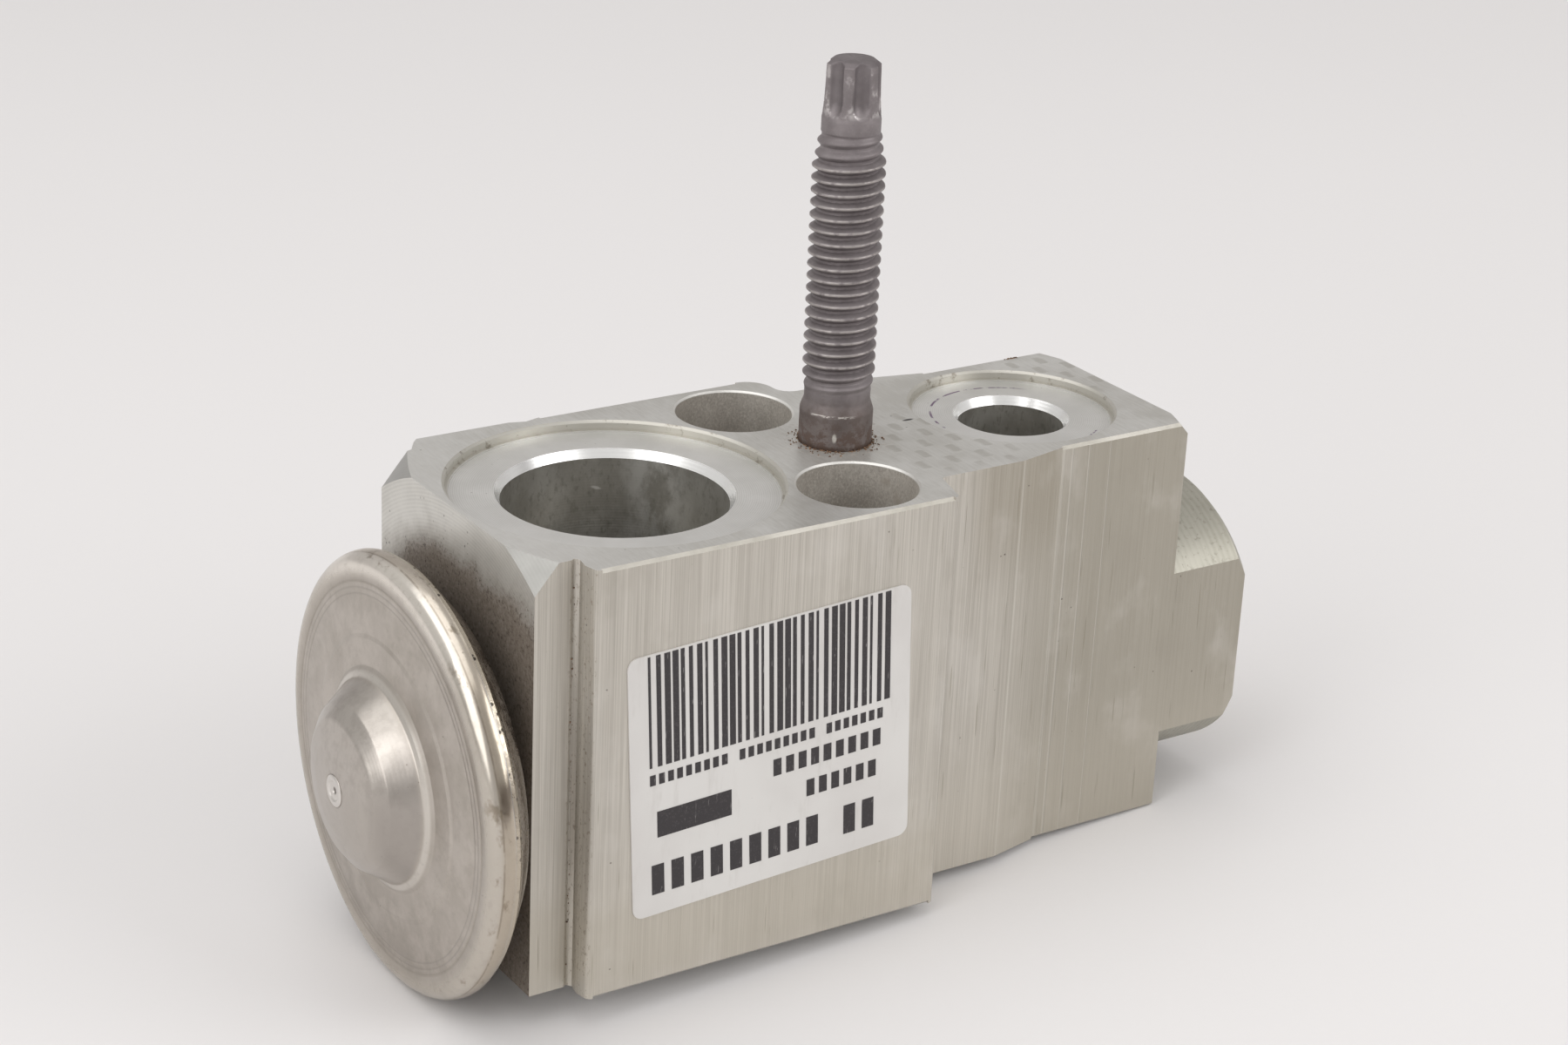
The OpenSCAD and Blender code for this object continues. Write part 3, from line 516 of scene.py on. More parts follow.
def face_finishes(centres, normals):
    """The finish number of each face, from arrays of centres and normals: the first rule that
    holds for a face decides, and what no rule claims is a drawn side."""
    x, y, z = centres.T
    nx, ny, nz = np.abs(normals).T
    from_suction = np.hypot(x - SUCTION_X, y)
    from_liquid = np.hypot(x - LIQUID_X, y)
    from_screw = np.hypot(x, np.abs(y) - 9.1 * MM)
    from_axis = np.hypot(y, z - AXIS_Z)
    outward = np.abs(normals[:, 1] * y + normals[:, 2] * (z - AXIS_Z)) / from_axis.clip(HAIR)
    below = (z < TOP - HAIR) & (z > HAIR)
    in_recess = below & (z > TOP - 1.65 * MM)
    near_face = (z > TOP - 0.3 * MM) | (z < 0.3 * MM)
    in_port = (from_suction < 9.5 * MM) | (from_liquid < 5.1 * MM)
    in_port |= np.hypot(x - OUTLET_X, y) < 5.6 * MM
    in_axis = (from_axis < 7.4 * MM) | ((from_axis < 9.9 * MM) & (x < END + 2 * MM))
    rules = [
        ((x < END + HAIR) & (nx > 0.9), STAIN_AND_SHADE_END),
        ((x > BOSS_END - HAIR) & (nx > 0.9), TURNED_BOSS),
        (in_recess & (from_suction < 13.5 * MM), SUCTION_RECESS),
        (in_recess & (from_liquid < 8.9 * MM), LIQUID_RECESS),
        (below & (from_screw < 5.1 * MM), DRILLED),
        (below & (in_port | in_axis), BORED),
        ((nz > 0.9) & ~below, MILLED),
        ((from_axis > 21.9 * MM) & (nx > 0.4) & (outward > 0.4), CUT_CORNER),
        ((nz > 0.5) & (nz < 0.9) & near_face, BROKEN_EDGE),
        ((x > TAIL_END - HAIR) & (ny < 0.999), TURNED_BOSS)]
    return np.select([rule for rule, _ in rules], [finish for _, finish in rules], DRAWN)


def mesh_faces(mesh):
    """Centres and normals of all faces, as arrays."""
    count = len(mesh.polygons)
    centres, normals = np.empty(count * 3), np.empty(count * 3)
    mesh.polygons.foreach_get("center", centres)
    mesh.polygons.foreach_get("normal", normals)
    return centres.reshape(-1, 3), normals.reshape(-1, 3)


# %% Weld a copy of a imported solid


def welded_copy(node, name, flat_angle=0.5):
    """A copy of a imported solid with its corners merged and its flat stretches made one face."""
    mesh = nodes[node].data.copy()
    mesh.materials.clear()
    body = bmesh.new()
    body.from_mesh(mesh)
    bmesh.ops.remove_doubles(body, verts=body.verts, dist=0.5e-6)
    bmesh.ops.dissolve_limit(body, angle_limit=math.radians(flat_angle), verts=body.verts,
                             edges=body.edges)
    body.to_mesh(mesh)
    body.free()
    if mesh.has_custom_normals:
        mesh.attributes.remove(mesh.attributes["custom_normal"])
    piece = bpy.data.objects.new(name, mesh)
    bpy.context.scene.collection.objects.link(piece)
    return piece


def shade_by_angle(mesh, degrees):
    """Smooth faces with hard edges where two faces meet at more than an angle."""
    mesh.polygons.foreach_set("use_smooth", [True] * len(mesh.polygons))
    mesh.set_sharp_from_angle(angle=math.radians(degrees))


# %% Make the block


def make_block():
    piece = welded_copy("valve_block", "block")
    for material in (
            drawn_aluminium(), milled_aluminium(),
            recess_aluminium("suction recess aluminium", SUCTION_X, 8.9, 13.15),
            recess_aluminium("liquid recess aluminium", LIQUID_X, 4.4, 8.55, ink=True),
            bored_aluminium(), drilled_aluminium(),
            turned_aluminium("turned end aluminium", "#c5c3bd", "#d5d3cd", stain_and_shade_amount=1.0),
            turned_aluminium("cut corner aluminium", "#a3a29e", "#b2b1ad", rough=0.34,
                             ringed=0.3),
            turned_aluminium("broken edge aluminium", "#aaa69c", "#c8c4bb", rough=0.34,
                             ringed=0.0),
            turned_aluminium("turned boss aluminium", "#a09d91", "#b0ada2", rough=0.44,
                             speckled=0.5)):
        piece.data.materials.append(material)
    chosen = face_finishes(*mesh_faces(piece.data))
    piece.data.polygons.foreach_set("material_index", chosen)
    shade_by_angle(piece.data, 30)
    bevel = piece.modifiers.new("broken edges", "BEVEL")
    bevel.width = 0.08 * MM
    bevel.segments = 2
    bevel.limit_method = "ANGLE"
    bevel.angle_limit = math.radians(32)
    bevel.harden_normals = True
    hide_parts("valve_block")
    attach(piece, "valve_body")
    print("block faces:", len(piece.data.polygons), "by finish:", np.bincount(chosen))
    return piece


block = make_block()

# %% [markdown]
# Round pieces are lathe work: a profile of radius and height, swept about an axis. The profile is
# given as a few corners, each with its own rounding, which becomes a true arc. A surface is then
# one array of points, ring by ring, and one array of faces.

# %% Profiles with rounded corners


def rounded_profile(corners, steps=6):
    """Points through corners (r, h, rounding) in millimetres. A rounded corner becomes an arc of
    that radius that touches both sides: its centre lies on the line that halves the corner, and
    its points turn evenly from the first touching point to the second."""
    points = [np.array(corners[0][:2], float)]
    for before, (r, h, rounding), after in zip(corners, corners[1:], corners[2:]):
        corner = np.array([r, h], float)
        back, ahead = np.array(before[:2]) - corner, np.array(after[:2]) - corner
        back, ahead = back / np.linalg.norm(back), ahead / np.linalg.norm(ahead)
        half = math.acos(np.clip(back @ ahead, -1, 1)) / 2
        if rounding == 0 or math.pi / 2 - half < 0.01:
            points.append(corner)
            continue
        cut, swing = rounding / math.tan(half), math.pi - 2 * half
        middle = (back + ahead) / np.linalg.norm(back + ahead)
        centre = corner + middle * rounding / math.sin(half)
        start, end = corner + back * cut - centre, corner + ahead * cut - centre
        t = np.linspace(0, 1, steps + 1)[:, None]
        arc = (np.sin((1 - t) * swing) * start + np.sin(t * swing) * end) / math.sin(swing)
        points.extend(centre + arc)
    points.append(np.array(corners[-1][:2], float))
    return np.array(points) * MM


# %% Surfaces from a grid of points


def new_piece(name, points, faces):
    """A Blender object from an array of points and a list of faces."""
    mesh = bpy.data.meshes.new(name)
    mesh.from_pydata(points.reshape(-1, 3).tolist(), [], faces)
    mesh.update()
    piece = bpy.data.objects.new(name, mesh)
    bpy.context.scene.collection.objects.link(piece)
    return piece


def ring_faces(index):
    """Quads between each row of an index array and the next; every row is a closed ring."""
    here, ahead = index[:-1], index[1:]
    quads = np.stack([here, np.roll(here, -1, axis=1), np.roll(ahead, -1, axis=1), ahead], axis=-1)
    return quads.reshape(-1, 4).tolist()


def point_outwards(piece):
    """Merges the doubles of a closed mesh, then turns all its faces outwards."""
    body = bmesh.new()
    body.from_mesh(piece.data)
    bmesh.ops.remove_doubles(body, verts=body.verts, dist=1e-8)
    bmesh.ops.recalc_face_normals(body, faces=body.faces)
    body.to_mesh(piece.data)
    body.free()


def lathe(name, profile, to_place, steps=256):
    """Sweeps a closed profile (r, h) about an axis: x is r times the cosine of the turn, y is r
    times its sine, and to_place maps the arrays x, y, h to points."""
    turn = np.linspace(0, 2 * np.pi, steps, endpoint=False)
    closed = np.concatenate([profile, profile[:1]])
    r, h = closed[:, 0][:, None], closed[:, 1][:, None]
    points = to_place(r * np.cos(turn), r * np.sin(turn), h + 0 * turn)
    piece = new_piece(name, points, ring_faces(np.arange(r.size * steps).reshape(r.size, steps)))
    point_outwards(piece)
    return piece


def on_head_end(x, y, h):
    """Heights grow outwards from the block's end face, about the valve axis."""
    return np.stack([END - h, y, AXIS_Z + x], axis=-1)


def on_stud(x, y, h):
    """Heights grow upwards from the stud-side face, about the stud's axis."""
    return np.stack([STUD_X + x, y, TOP + h], axis=-1)


def finish_piece(piece, material, node, smooth_to=40):
    """Gives a piece its material, hides the imported solid that it stands for, and makes it ride on
    the body.
    """
    piece.data.materials.append(material)
    shade_by_angle(piece.data, smooth_to)
    if node:
        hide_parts(node)
    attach(piece, "valve_body")
    print(piece.name, "faces:", len(piece.data.polygons))
    return piece


# %% [markdown]
# The power head's cap is drawn from stainless sheet. Its flat ring is satin from the sheet mill,
# with two faint rings that the press tool leaves; the rolled rim is polished and has a warm tint
# from the weld; the dome carries soft smears and dark streaks. Roughness does most of this work.
# Light and shade are painted over this: a near-white painted highlight on the upper part of the
# rim and a paler ring on the ridge at the dome's foot, and painted shade on the lower part of the
# flat ring, on the dome's right slope, in the crease inside the rim and in the two press rings.

# %% Pressed stainless


def pressed_stainless():
    finish = Finish("pressed stainless")
    level, y, z = finish.axis("X", END), finish.axis("Y"), finish.axis("Z", AXIS_Z)
    radius = finish.distance(y, z)
    turn = z.angle(y)
    rings = ring_marks(finish, radius, 0.9)
    fine = ring_marks(finish, radius, 0.22)
    smear = finish.noise((6, 6, 6), 5.0, 0.62)
    stroke = finish.noise((1.2, 2.2, 2.2), 4.0, 0.65)
    mottle = finish.noise((0.9, 0.9, 0.9), 5.0, 0.7)
    dent = finish.noise((3.4, 3.4, 3.4), 2.0)
    grain = finish.noise((0.35, 0.35, 0.35), 3.0, 0.6)
    rim = radius.between(15.5, 16.6)
    face = radius.near(12.2, 3.0, 0.4)
    # painted highlight: the ridge at the dome's foot is painted paler
    foot = radius.near(8.35, 0.12, 0.25)
    dome = 1.0 - radius.between(7.8, 8.1)
    slope = radius.near(7.3, 0.6, 0.4)
    # painted shade: the dome's right slope is painted darker
    painted_shade_right_slope = dome * (0.0 - y).between(4.2, 6.2)
    # painted shade: the press rings and the crease inside the rim are painted darker
    pressed_lines = radius.near(14.9, 0.02, 0.10).high(radius.near(14.42, 0.02, 0.10))
    shaded_crease = radius.near(15.38, 0.05, 0.14)
    streaks = dome * turn.near(1.9, 0.8, 0.5) * mottle.between(0.42, 0.60)
    rim_line = rim * level.near(-5.05, 0.03, 0.07) * stroke.between(0.36, 0.5)
    oil = slope * turn.near(-0.9, 0.5, 0.6) * stroke.between(0.45, 0.6)
    specks = finish.specks(0.9, 0.08, 2.6, 0.56)
    weld_tint = rim * level.near(-4.6, 0.25, 0.5)
    rim_dirt = rim * stroke.between(0.56, 0.70) * level.near(-4.9, 0.5, 0.8)
    # painted shade: the lower part of the flat ring is painted darker
    painted_shade_low_face = face * (0.0 - z).between(4.0, 14.0)
    plug = 1.0 - radius.between(1.24, 1.30)
    plug_seam = radius.near(1.32, 0.03, 0.06)
    dimple = 1.0 - radius.between(0.20, 0.34)
    base = finish.coats("#b1aaa1", (smear.between(0.34, 0.66), "#bcb5ad"),
                        (painted_shade_low_face * 0.4, "#968e85"),
                        (face * stroke.between(0.40, 0.66) * 0.35, "#cfc8c0"),
                        # painted highlight: the second coat on the next line paints the upper part of
                        # the rim near white
                        (rim * 0.7, "#c8c1b6"), (rim * z.between(11.0, 15.5) * 0.85, "#ece6dd"),
                        (dome * 0.35, "#c6c1bc"), (foot * 0.6, "#dcd7cf"),
                        (pressed_lines * 0.35, "#97908a"), (shaded_crease * 0.4, "#9d958a"),
                        (mottle.between(0.50, 0.66) * (0.14 - dome * 0.06), "#8e867e"),
                        (painted_shade_right_slope * 0.45, "#8f8883"),
                        (streaks * 0.14, "#857d76"), (oil * 0.45, "#8b7c6b"),
                        (rim_line * 0.5, "#6f6457"),
                        (plug * 0.85, "#dedad5"), (plug_seam * 0.3, "#8d857d"),
                        (dimple * 0.8, "#5a534d"),
                        (weld_tint * 0.4, "#a4937a"), (rim_dirt * 0.7, "#857866"),
                        (specks * 0.7, "#5d5148"))
    rough = 0.28 + smear * 0.12 + mottle * (0.12 - dome * 0.09) - rim * 0.17 - foot * 0.1 - dome * 0.05
    height = (rings * 0.5 + fine * 0.2 + grain * 0.2 + smear * 0.6) * (1.0 - rim * 0.75)
    height = height + dent * (1.0 + rim * 4.0 + dome * 2.0) + mottle * dome * 0.15
    finish.set(Base_Color=base, Metallic=0.95, Roughness=rough,
               Normal=finish.bump(height - pressed_lines * 0.6, 0.012))
    return finish.material


# %% Make the cap and its plug
RIM_R = (head_high.z - head_low.z) / 2 / MM
SEAM, RIM_TOP, DOME_TOP, SHEET = 4.1, 5.86, 10.3, 0.8
PLUG_R = 1.3
FACE_LINES = ((15.38, 0.03, 0.08), (14.90, 0.02, 0.07), (14.42, 0.02, 0.07))


def make_head_cap(stainless):
    """Outside from the seam over the rim, face and dome to the plug's hole, then back inside."""
    outside = [(RIM_R - 0.05, SEAM, 0), (RIM_R, SEAM + 0.2, 0), (RIM_R, RIM_TOP, 1.4)]
    for r, depth, half_width in FACE_LINES:
        level = RIM_TOP + (15.4 - r) * 0.045
        outside += [(r + half_width, level, 0), (r, level - depth, 0), (r - half_width, level, 0)]
    outside += [(11.35, 6.08, 0.5), (11.02, 6.2, 0.5), (8.92, 6.3, 0.3), (8.45, 6.62, 0.2),
                (8.08, 6.8, 0.35), (6.62, 8.86, 0.9), (5.45, 9.72, 1.2), (3.84, 10.06, 2.5),
                (PLUG_R + 0.3, DOME_TOP, 0.3), (PLUG_R, DOME_TOP - 0.02, 0)]
    inside = [(PLUG_R, DOME_TOP - SHEET, 0), (3.84, 9.25, 1.0), (5.5, 8.75, 0.5),
              (7.2, 6.5, 0.3), (8.1, 5.4, 0.3), (RIM_R - SHEET, 5.05, 0.6),
              (RIM_R - SHEET, SEAM, 0)]
    profile = np.concatenate([rounded_profile(outside), rounded_profile(inside)])
    return finish_piece(lathe("head_shell", profile, on_head_end), stainless, "head_cap")


def make_plug(stainless):
    """A raised ring with a flat dish and a dimple in its middle, sunk in the dome's hole."""
    profile = rounded_profile([
        (0, DOME_TOP - 1.1, 0), (PLUG_R - 0.01, DOME_TOP - 1.1, 0),
        (PLUG_R - 0.01, DOME_TOP + 0.02, 0.08), (1.08, DOME_TOP + 0.1, 0.12),
        (0.88, DOME_TOP + 0.09, 0.1), (0.72, DOME_TOP - 0.02, 0.1), (0.34, DOME_TOP - 0.03, 0.05),
        (0.2, DOME_TOP - 0.16, 0.08), (0, DOME_TOP - 0.18, 0)])
    return finish_piece(lathe("weld_plug", profile, on_head_end, 96), stainless, "charge_plug")


cap_stainless = pressed_stainless()
head_shell = make_head_cap(cap_stainless)
weld_plug = make_plug(cap_stainless)

# %% [markdown]
# The lower half of the head is a pressed dish. Behind the rim its edge is painted as a thin
# bright line, a painted highlight, with black dirt in it, and its cone carries a heat tint and the
# dust of the stain.

# %% Make the head's lower half


def seam_stainless():
    finish = Finish("seam stainless")
    level, y, z = finish.axis("X", END), finish.axis("Y"), finish.axis("Z", AXIS_Z)
    radius = finish.distance(y, z)
    grit = finish.noise((0.30, 0.30, 0.30), 4.0, 0.7)
    cloud = finish.noise((4, 4, 4), 4.0, 0.6)
    edge = radius.between(16.5, 16.9)
    upper = z.between(-6.0, 6.0)
    dots = finish.specks(0.62, 0.20, 2.0, 0.40) * edge * upper
    dust = (cloud * 0.6 + grit * 0.5).between(0.50, 0.70) * (1.0 - edge * 0.6) * upper
    # painted highlight: the dish's edge behind the rim is painted as a pale line
    base = finish.coats("#8d8379", (cloud.between(0.34, 0.66), "#a69d92"), (edge * 0.7, "#c9bfae"),
                        (radius.near(16.55, 0.04, 0.08) * 0.8, "#40372f"),
                        (dust * 0.75, "#4b4037"), (dots * 0.9, "#241e1a"))
    finish.set(Base_Color=base, Metallic=0.95 - dust * 0.6, Roughness=0.24 + dust * 0.4,
               Normal=finish.bump(grit * dust + cloud * 0.3, 0.025))
    return finish.material


def make_head_base():
    """The neck, the seat on the block, the cone, a groove under the flange, and the dish."""
    profile = rounded_profile([
        (4.96, -5.2, 0), (7.5, -5.2, 0), (8.0, -4.7, 0), (8.0, 0, 0), (11.4, 0, 0.1),
        (11.9, 0.5, 0.4), (14.1, 1.3, 0.3), (14.59, 1.5, 0.08), (16.42, 2.94, 0), (16.5, 3.1, 0),
        (16.64, 3.12, 0), (17.0, 3.4, 0.04), (17.2, 3.6, 0.08), (17.2, 3.9, 0), (15.0, 3.9, 0),
        (12.3, 3.6, 0), (12.3, 1.95, 0), (4.96, 1.95, 0)])
    return finish_piece(lathe("head_dish", profile, on_head_end), seam_stainless(), "head_base")


head_dish = make_head_base()

# %% [markdown]
# The stud is one surface of two parameters, the turn about its axis and the height. Its radius
# runs between two tables, one for the thread's root and one for its crest, by how far a point is
# from the nearest turn of the helix. Above them six round flutes are cut into the drive: a flute
# is a circle beside the axis, and the radius is the nearer of the lobe and that circle.

# %% The stud's radius at every point
PITCH = 1.0
CREST_START = 0.296
STUD_TOP = (stud_high.z - TOP) / MM
ROOT_TABLE = ((-12.0, 2.35), (-11.35, 2.95), (2.72, 2.95), (2.82, 2.93), (3.58, 2.67),
              (3.7, 2.65), (4.6, 2.65), (5.3, 2.48), (6.2, 2.42), (23.3, 2.40), (24.5, 2.28),
              (25.4, 2.24), (25.6, 2.33), (26.55, 2.33), (26.85, 2.27), (30.8, 2.13),
              (STUD_TOP, 1.60))
CREST_TABLE = ((4.2, 2.65), (4.6, 2.70), (4.93, 2.75), (5.9, 2.90), (23.1, 2.90), (23.7, 2.70),
               (24.0, 2.62), (25.0, 2.54), (25.35, 2.42), (25.6, 2.33))
FLUTE_R, FLUTE_ROOT, FLUTE_START, FLUTE_FULL = 0.83, 1.65, 26.55, 28.1
FLUTE_TURN = math.radians(16)


def stud_radius(turn, h):
    """Radius in millimetres: the root's, plus the crest's height over it where the helix passes,
    then no more than the distance to the circle of the nearest flute."""
    root = np.interp(h, *zip(*ROOT_TABLE))
    crest = np.where((h > 4.2) & (h < 25.6), np.interp(h, *zip(*CREST_TABLE)), root)
    from_crest = np.abs((h / PITCH - turn / (2 * np.pi) - CREST_START + 0.5) % 1.0 - 0.5)
    flank = np.clip((0.41 - from_crest) / (0.41 - 0.055), 0, 1)
    flank = 0.7 * flank + 0.3 * flank * flank * (3 - 2 * flank)
    body = root + np.clip(crest - root, 0, None) * flank
    lift = np.clip((FLUTE_FULL - h) / (FLUTE_FULL - FLUTE_START), 0, 1) ** 2 * 0.9
    centre = FLUTE_ROOT + FLUTE_R + lift
    aside = (turn - FLUTE_TURN + np.pi / 6) % (np.pi / 3) - np.pi / 6
    inside = FLUTE_R ** 2 - (centre * np.sin(aside)) ** 2
    to_flute = centre * np.cos(aside) - np.sqrt(np.clip(inside, 0, None))
    cut = (inside > 0) & (h > FLUTE_START)
    return np.where(cut, np.minimum(body, to_flute), body)


# %% [markdown]
# Phosphate turns steel dull grey, a little purple. Handling has polished the crests of the thread
# and the edges of the drive, the nut has scraped the edge of the shank, and at the foot, where
# water stands, the shank has rusted brown and sheds crumbs. Light and shade are painted in as
# well: a pale line along each crest and pale patches on the edges of the lobes are painted
# highlight over the polish, and the band under each crest, the roots of the thread and the flutes
# are painted darker as painted shade.

# %% Phosphated steel


def phosphated_steel():
    finish = Finish("phosphated steel")
    x, y, h = finish.axis("X", STUD_X), finish.axis("Y"), finish.axis("Z", TOP)
    radius = finish.distance(x, y)
    grain = finish.noise((0.20, 0.20, 0.20), 4.0, 0.7)
    cloud = finish.noise((2.2, 2.2, 2.2), 4.0, 0.6)
    mottle = finish.noise((0.9, 0.9, 0.8), 4.0, 0.7)
    turn = y.angle(x) * (1 / (2 * math.pi))
    phase = ((h / PITCH - turn - CREST_START + 20.5).math("FRACT") - 0.5)
    thread = h.near(15.0, 8.2, 1.0)
    # the crest line is pale from handling and also painted highlight
    crest = radius.between(2.80, 2.88) * thread
    wear_and_painted_light = finish.noise((0.8, 0.8, 0.8), 3.0, 0.6).between(0.34, 0.52)
    # painted shade: the band under each crest and the roots of the thread are painted darker
    below = thread * phase.near(-0.20, 0.10, 0.10)
    root = thread * (1.0 - radius.between(2.42, 2.60))
    left_front = (0.0 - x).between(-0.2, 1.2) * (0.0 - y).between(0.2, 1.2)
    neck_scrape = h.near(2.84, 0.03, 0.10) * left_front * finish.noise(
        (1.6, 1.6, 0.5), 3.0, 0.7).between(0.46, 0.52)
    facing = finish.distance(x + 1.72, y + 2.42)
    nick = 1.0 - finish.distance(facing * 1.1, (h - 1.1) * 0.55).between(0.12, 0.26)
    nick = nick * finish.noise((0.3, 0.3, 0.5), 2.0).between(0.38, 0.46)
    # the lobe edges are pale from chipping and also painted highlight
    chips_and_highlight = h.between(26.7, 27.2) * radius.between(2.05, 2.15) * wear_and_painted_light * cloud.between(0.5, 0.6)
    rust = (1.0 - h.between(0.6, 2.9)) * mottle.between(0.42, 0.58)
    foot = (1.0 - h.between(0.1, 0.55)) * mottle.between(0.32, 0.46)
    # painted shade: the flutes of the drive are painted darker
    flute = h.between(26.9, 28.0) * (1.0 - radius.between(1.95, 2.12))
    shank = 1.0 - h.between(2.7, 4.7)
    base = finish.coats("#7c7576", (cloud.between(0.34, 0.66), "#8c8586"),
                        (grain.between(0.56, 0.70) * 0.3, "#a19b9a"),
                        (below * 0.2, "#5e5758"), (root * 0.45, "#554e4f"),
                        (flute * 0.35, "#5f595b"), (crest * wear_and_painted_light * 0.5, "#bdb7b3"),
                        (chips_and_highlight * 0.7, "#c4bfbe"), (shank * 0.6, "#6c615b"),
                        (shank * mottle.between(0.45, 0.6) * 0.4, "#5b4f49"),
                        (rust * 0.70, "#554137"), (foot * 0.8, "#453226"),
                        (neck_scrape * 0.85, "#d5d0ca"), (nick * 0.85, "#d0ccc6"))
    polished = (crest * wear_and_painted_light).high(neck_scrape).high(nick).high(chips_and_highlight)
    finish.set(Base_Color=base, Metallic=0.60 - rust * 0.4,
               Roughness=0.46 + grain * 0.12 - polished * 0.16 + rust * 0.2,
               Normal=finish.bump(grain * 0.7 + rust * mottle * 2.0, 0.015))
    return finish.material


# %% Make the stud
STUD_TURNS = 144
STUD_HEIGHTS = np.concatenate([
    (-12.0, -11.35, -6.0, -0.3, 0.3, 1.5), np.linspace(2.6, 4.6, 24), np.arange(4.64, 25.6, 0.042),
    np.linspace(25.62, 28.2, 40), np.linspace(28.5, 30.6, 6), (30.74, 30.80, 30.84),
    np.linspace(30.92, STUD_TOP, 5)])


def make_stud():
    """Rings of points at each height; a fan of triangles closes each end at a pole."""
    turn = np.linspace(0, 2 * np.pi, STUD_TURNS, endpoint=False)
    h = STUD_HEIGHTS[:, None]
    r = stud_radius(turn[None, :], h) * MM
    rings = on_stud(r * np.cos(turn), r * np.sin(turn), (h + 0 * turn) * MM)
    poles = [np.repeat(rings[i].mean(axis=0)[None], STUD_TURNS, axis=0) for i in (0, -1)]
    points = np.concatenate([poles[0][None], rings, poles[1][None]])
    rows = points.shape[0]
    piece = new_piece("stud", points, ring_faces(np.arange(rows * STUD_TURNS).reshape(rows, -1)))
    point_outwards(piece)
    return finish_piece(piece, phosphated_steel(), "clamp_stud", 38)


stud = make_stud()

# %% [markdown]
# Rust crumbs lie round the stud's foot, grit sits in the groove beside the strip, and a tuft of
# dirt hangs on the far corner. Each grain is a lump of twenty faces: a regular one whose corners
# are pushed in and out at random, squashed, and half sunk in the face that carries it.

# %% Crumbs of dirt
GOLDEN = (1 + 5 ** 0.5) / 2
LUMP = np.array([(a, b * GOLDEN, 0) for a in (-1, 1) for b in (-1, 1)]
                + [(0, a, b * GOLDEN) for a in (-1, 1) for b in (-1, 1)]
                + [(b * GOLDEN, 0, a) for a in (-1, 1) for b in (-1, 1)]) / 1.9
chance = np.random.default_rng(7)


def lump_faces():
    """The twenty triangles of a regular lump: every three corners that are all neighbours."""
    gap = np.linalg.norm(LUMP[:, None] - LUMP[None], axis=-1)
    near = gap < gap[gap > 0.01].min() * 1.1
    return np.array([(i, j, k) for i in range(12) for j in range(i) for k in range(j)
                     if near[i, j] and near[j, k] and near[i, k]])


def crumbs(name, places, sizes, squash):
    """One lump for each place (n, 3) in metres, with its radius in millimetres."""
    count = len(places)
    pushed = LUMP * chance.uniform(0.65, 1.25, (count, 12, 1))
    lumps = pushed * (sizes[:, None, None] * MM) * np.array(squash) + places[:, None, :]
    faces = lump_faces()[None] + 12 * np.arange(count)[:, None, None]
    return new_piece(name, lumps, faces.reshape(-1, 3).tolist())


def foot_places(count):
    """Round the stud's foot, closer and closer to it: the gap from it is a random cube."""
    turn = chance.uniform(0, 2 * np.pi, count)
    r = (3.0 + 1.1 * chance.random(count) ** 4) * MM
    return np.stack([STUD_X + r * np.cos(turn), r * np.sin(turn), 0 * r + TOP + 0.02 * MM], axis=-1)


def crumb_brown():
    finish = Finish("crumb brown")
    grain = finish.noise((0.15, 0.15, 0.15), 3.0)
    lumps = finish.noise((0.6, 0.6, 0.6), 2.0)
    finish.set(Base_Color=finish.coats("#5b4636", (grain.between(0.4, 0.6), "#8a6d55"),
                                       (lumps.between(0.5, 0.6) * 0.5, "#3a3029")),
               Roughness=0.85 + grain * 0.1, Normal=finish.bump(grain, 0.02))
    return finish.material


def make_crumbs():
    foot = foot_places(260)
    groove_z = chance.uniform(1.0, 34.5, 46)
    groove = np.stack([chance.normal(GROOVE_X, 0.12, 46), 0 * groove_z - 12.08, groove_z],
                      axis=-1) * MM
    tuft = np.stack([chance.normal(28.9, 0.35, 16), 0 * np.arange(16) + 9.55,
                     35.5 + 0.01 * np.arange(16) / 16], axis=-1) * MM
    dirt = crumb_brown()
    for name, places, low, high, squash in (
            ("rust_crumbs", foot, 0.035, 0.11, (1, 1, 0.8)),
            ("groove_grit", groove, 0.04, 0.09, (1, 0.7, 1)),
            ("corner_tuft", tuft, 0.05, 0.13, (1, 1, 0.7))):
        sizes = chance.uniform(low, high, len(places))
        piece = crumbs(name, places, sizes, squash)
        point_outwards(piece)
        finish_piece(piece, dirt, None, 60)


make_crumbs()

# %% [markdown]
# The label is a printed film. Its solid is right as it is, so only its finish is set: nearly
# white, a little glossy, with faint grey scuffs and a yellowed edge. The print is dull ink with
# tiny pale gaps where the ribbon has missed.

# %% Label finishes


def film_white():
    finish = Finish("film white")
    scuff = finish.noise((2.0, 2.0, 9.0), 4.0, 0.7).between(0.55, 0.72)
    cloud = finish.noise((10, 10, 10), 3.0)
    x = finish.axis("X")
    base = finish.coats("#cfccc9", (cloud.between(0.34, 0.66), "#d7d5d2"),
                        (scuff * 0.3, "#b9b5b0"), (x.between(2.9, 3.6) * 0.15, "#e0dfdd"),
                        (finish.specks(1.6, 0.07, 3.0, 0.58) * 0.5, "#8e8982"))
    finish.set(Base_Color=base, Roughness=0.38 + scuff * 0.2,
               Normal=finish.bump(cloud * 0.5 + scuff * 0.5, 0.01))
    return finish.material


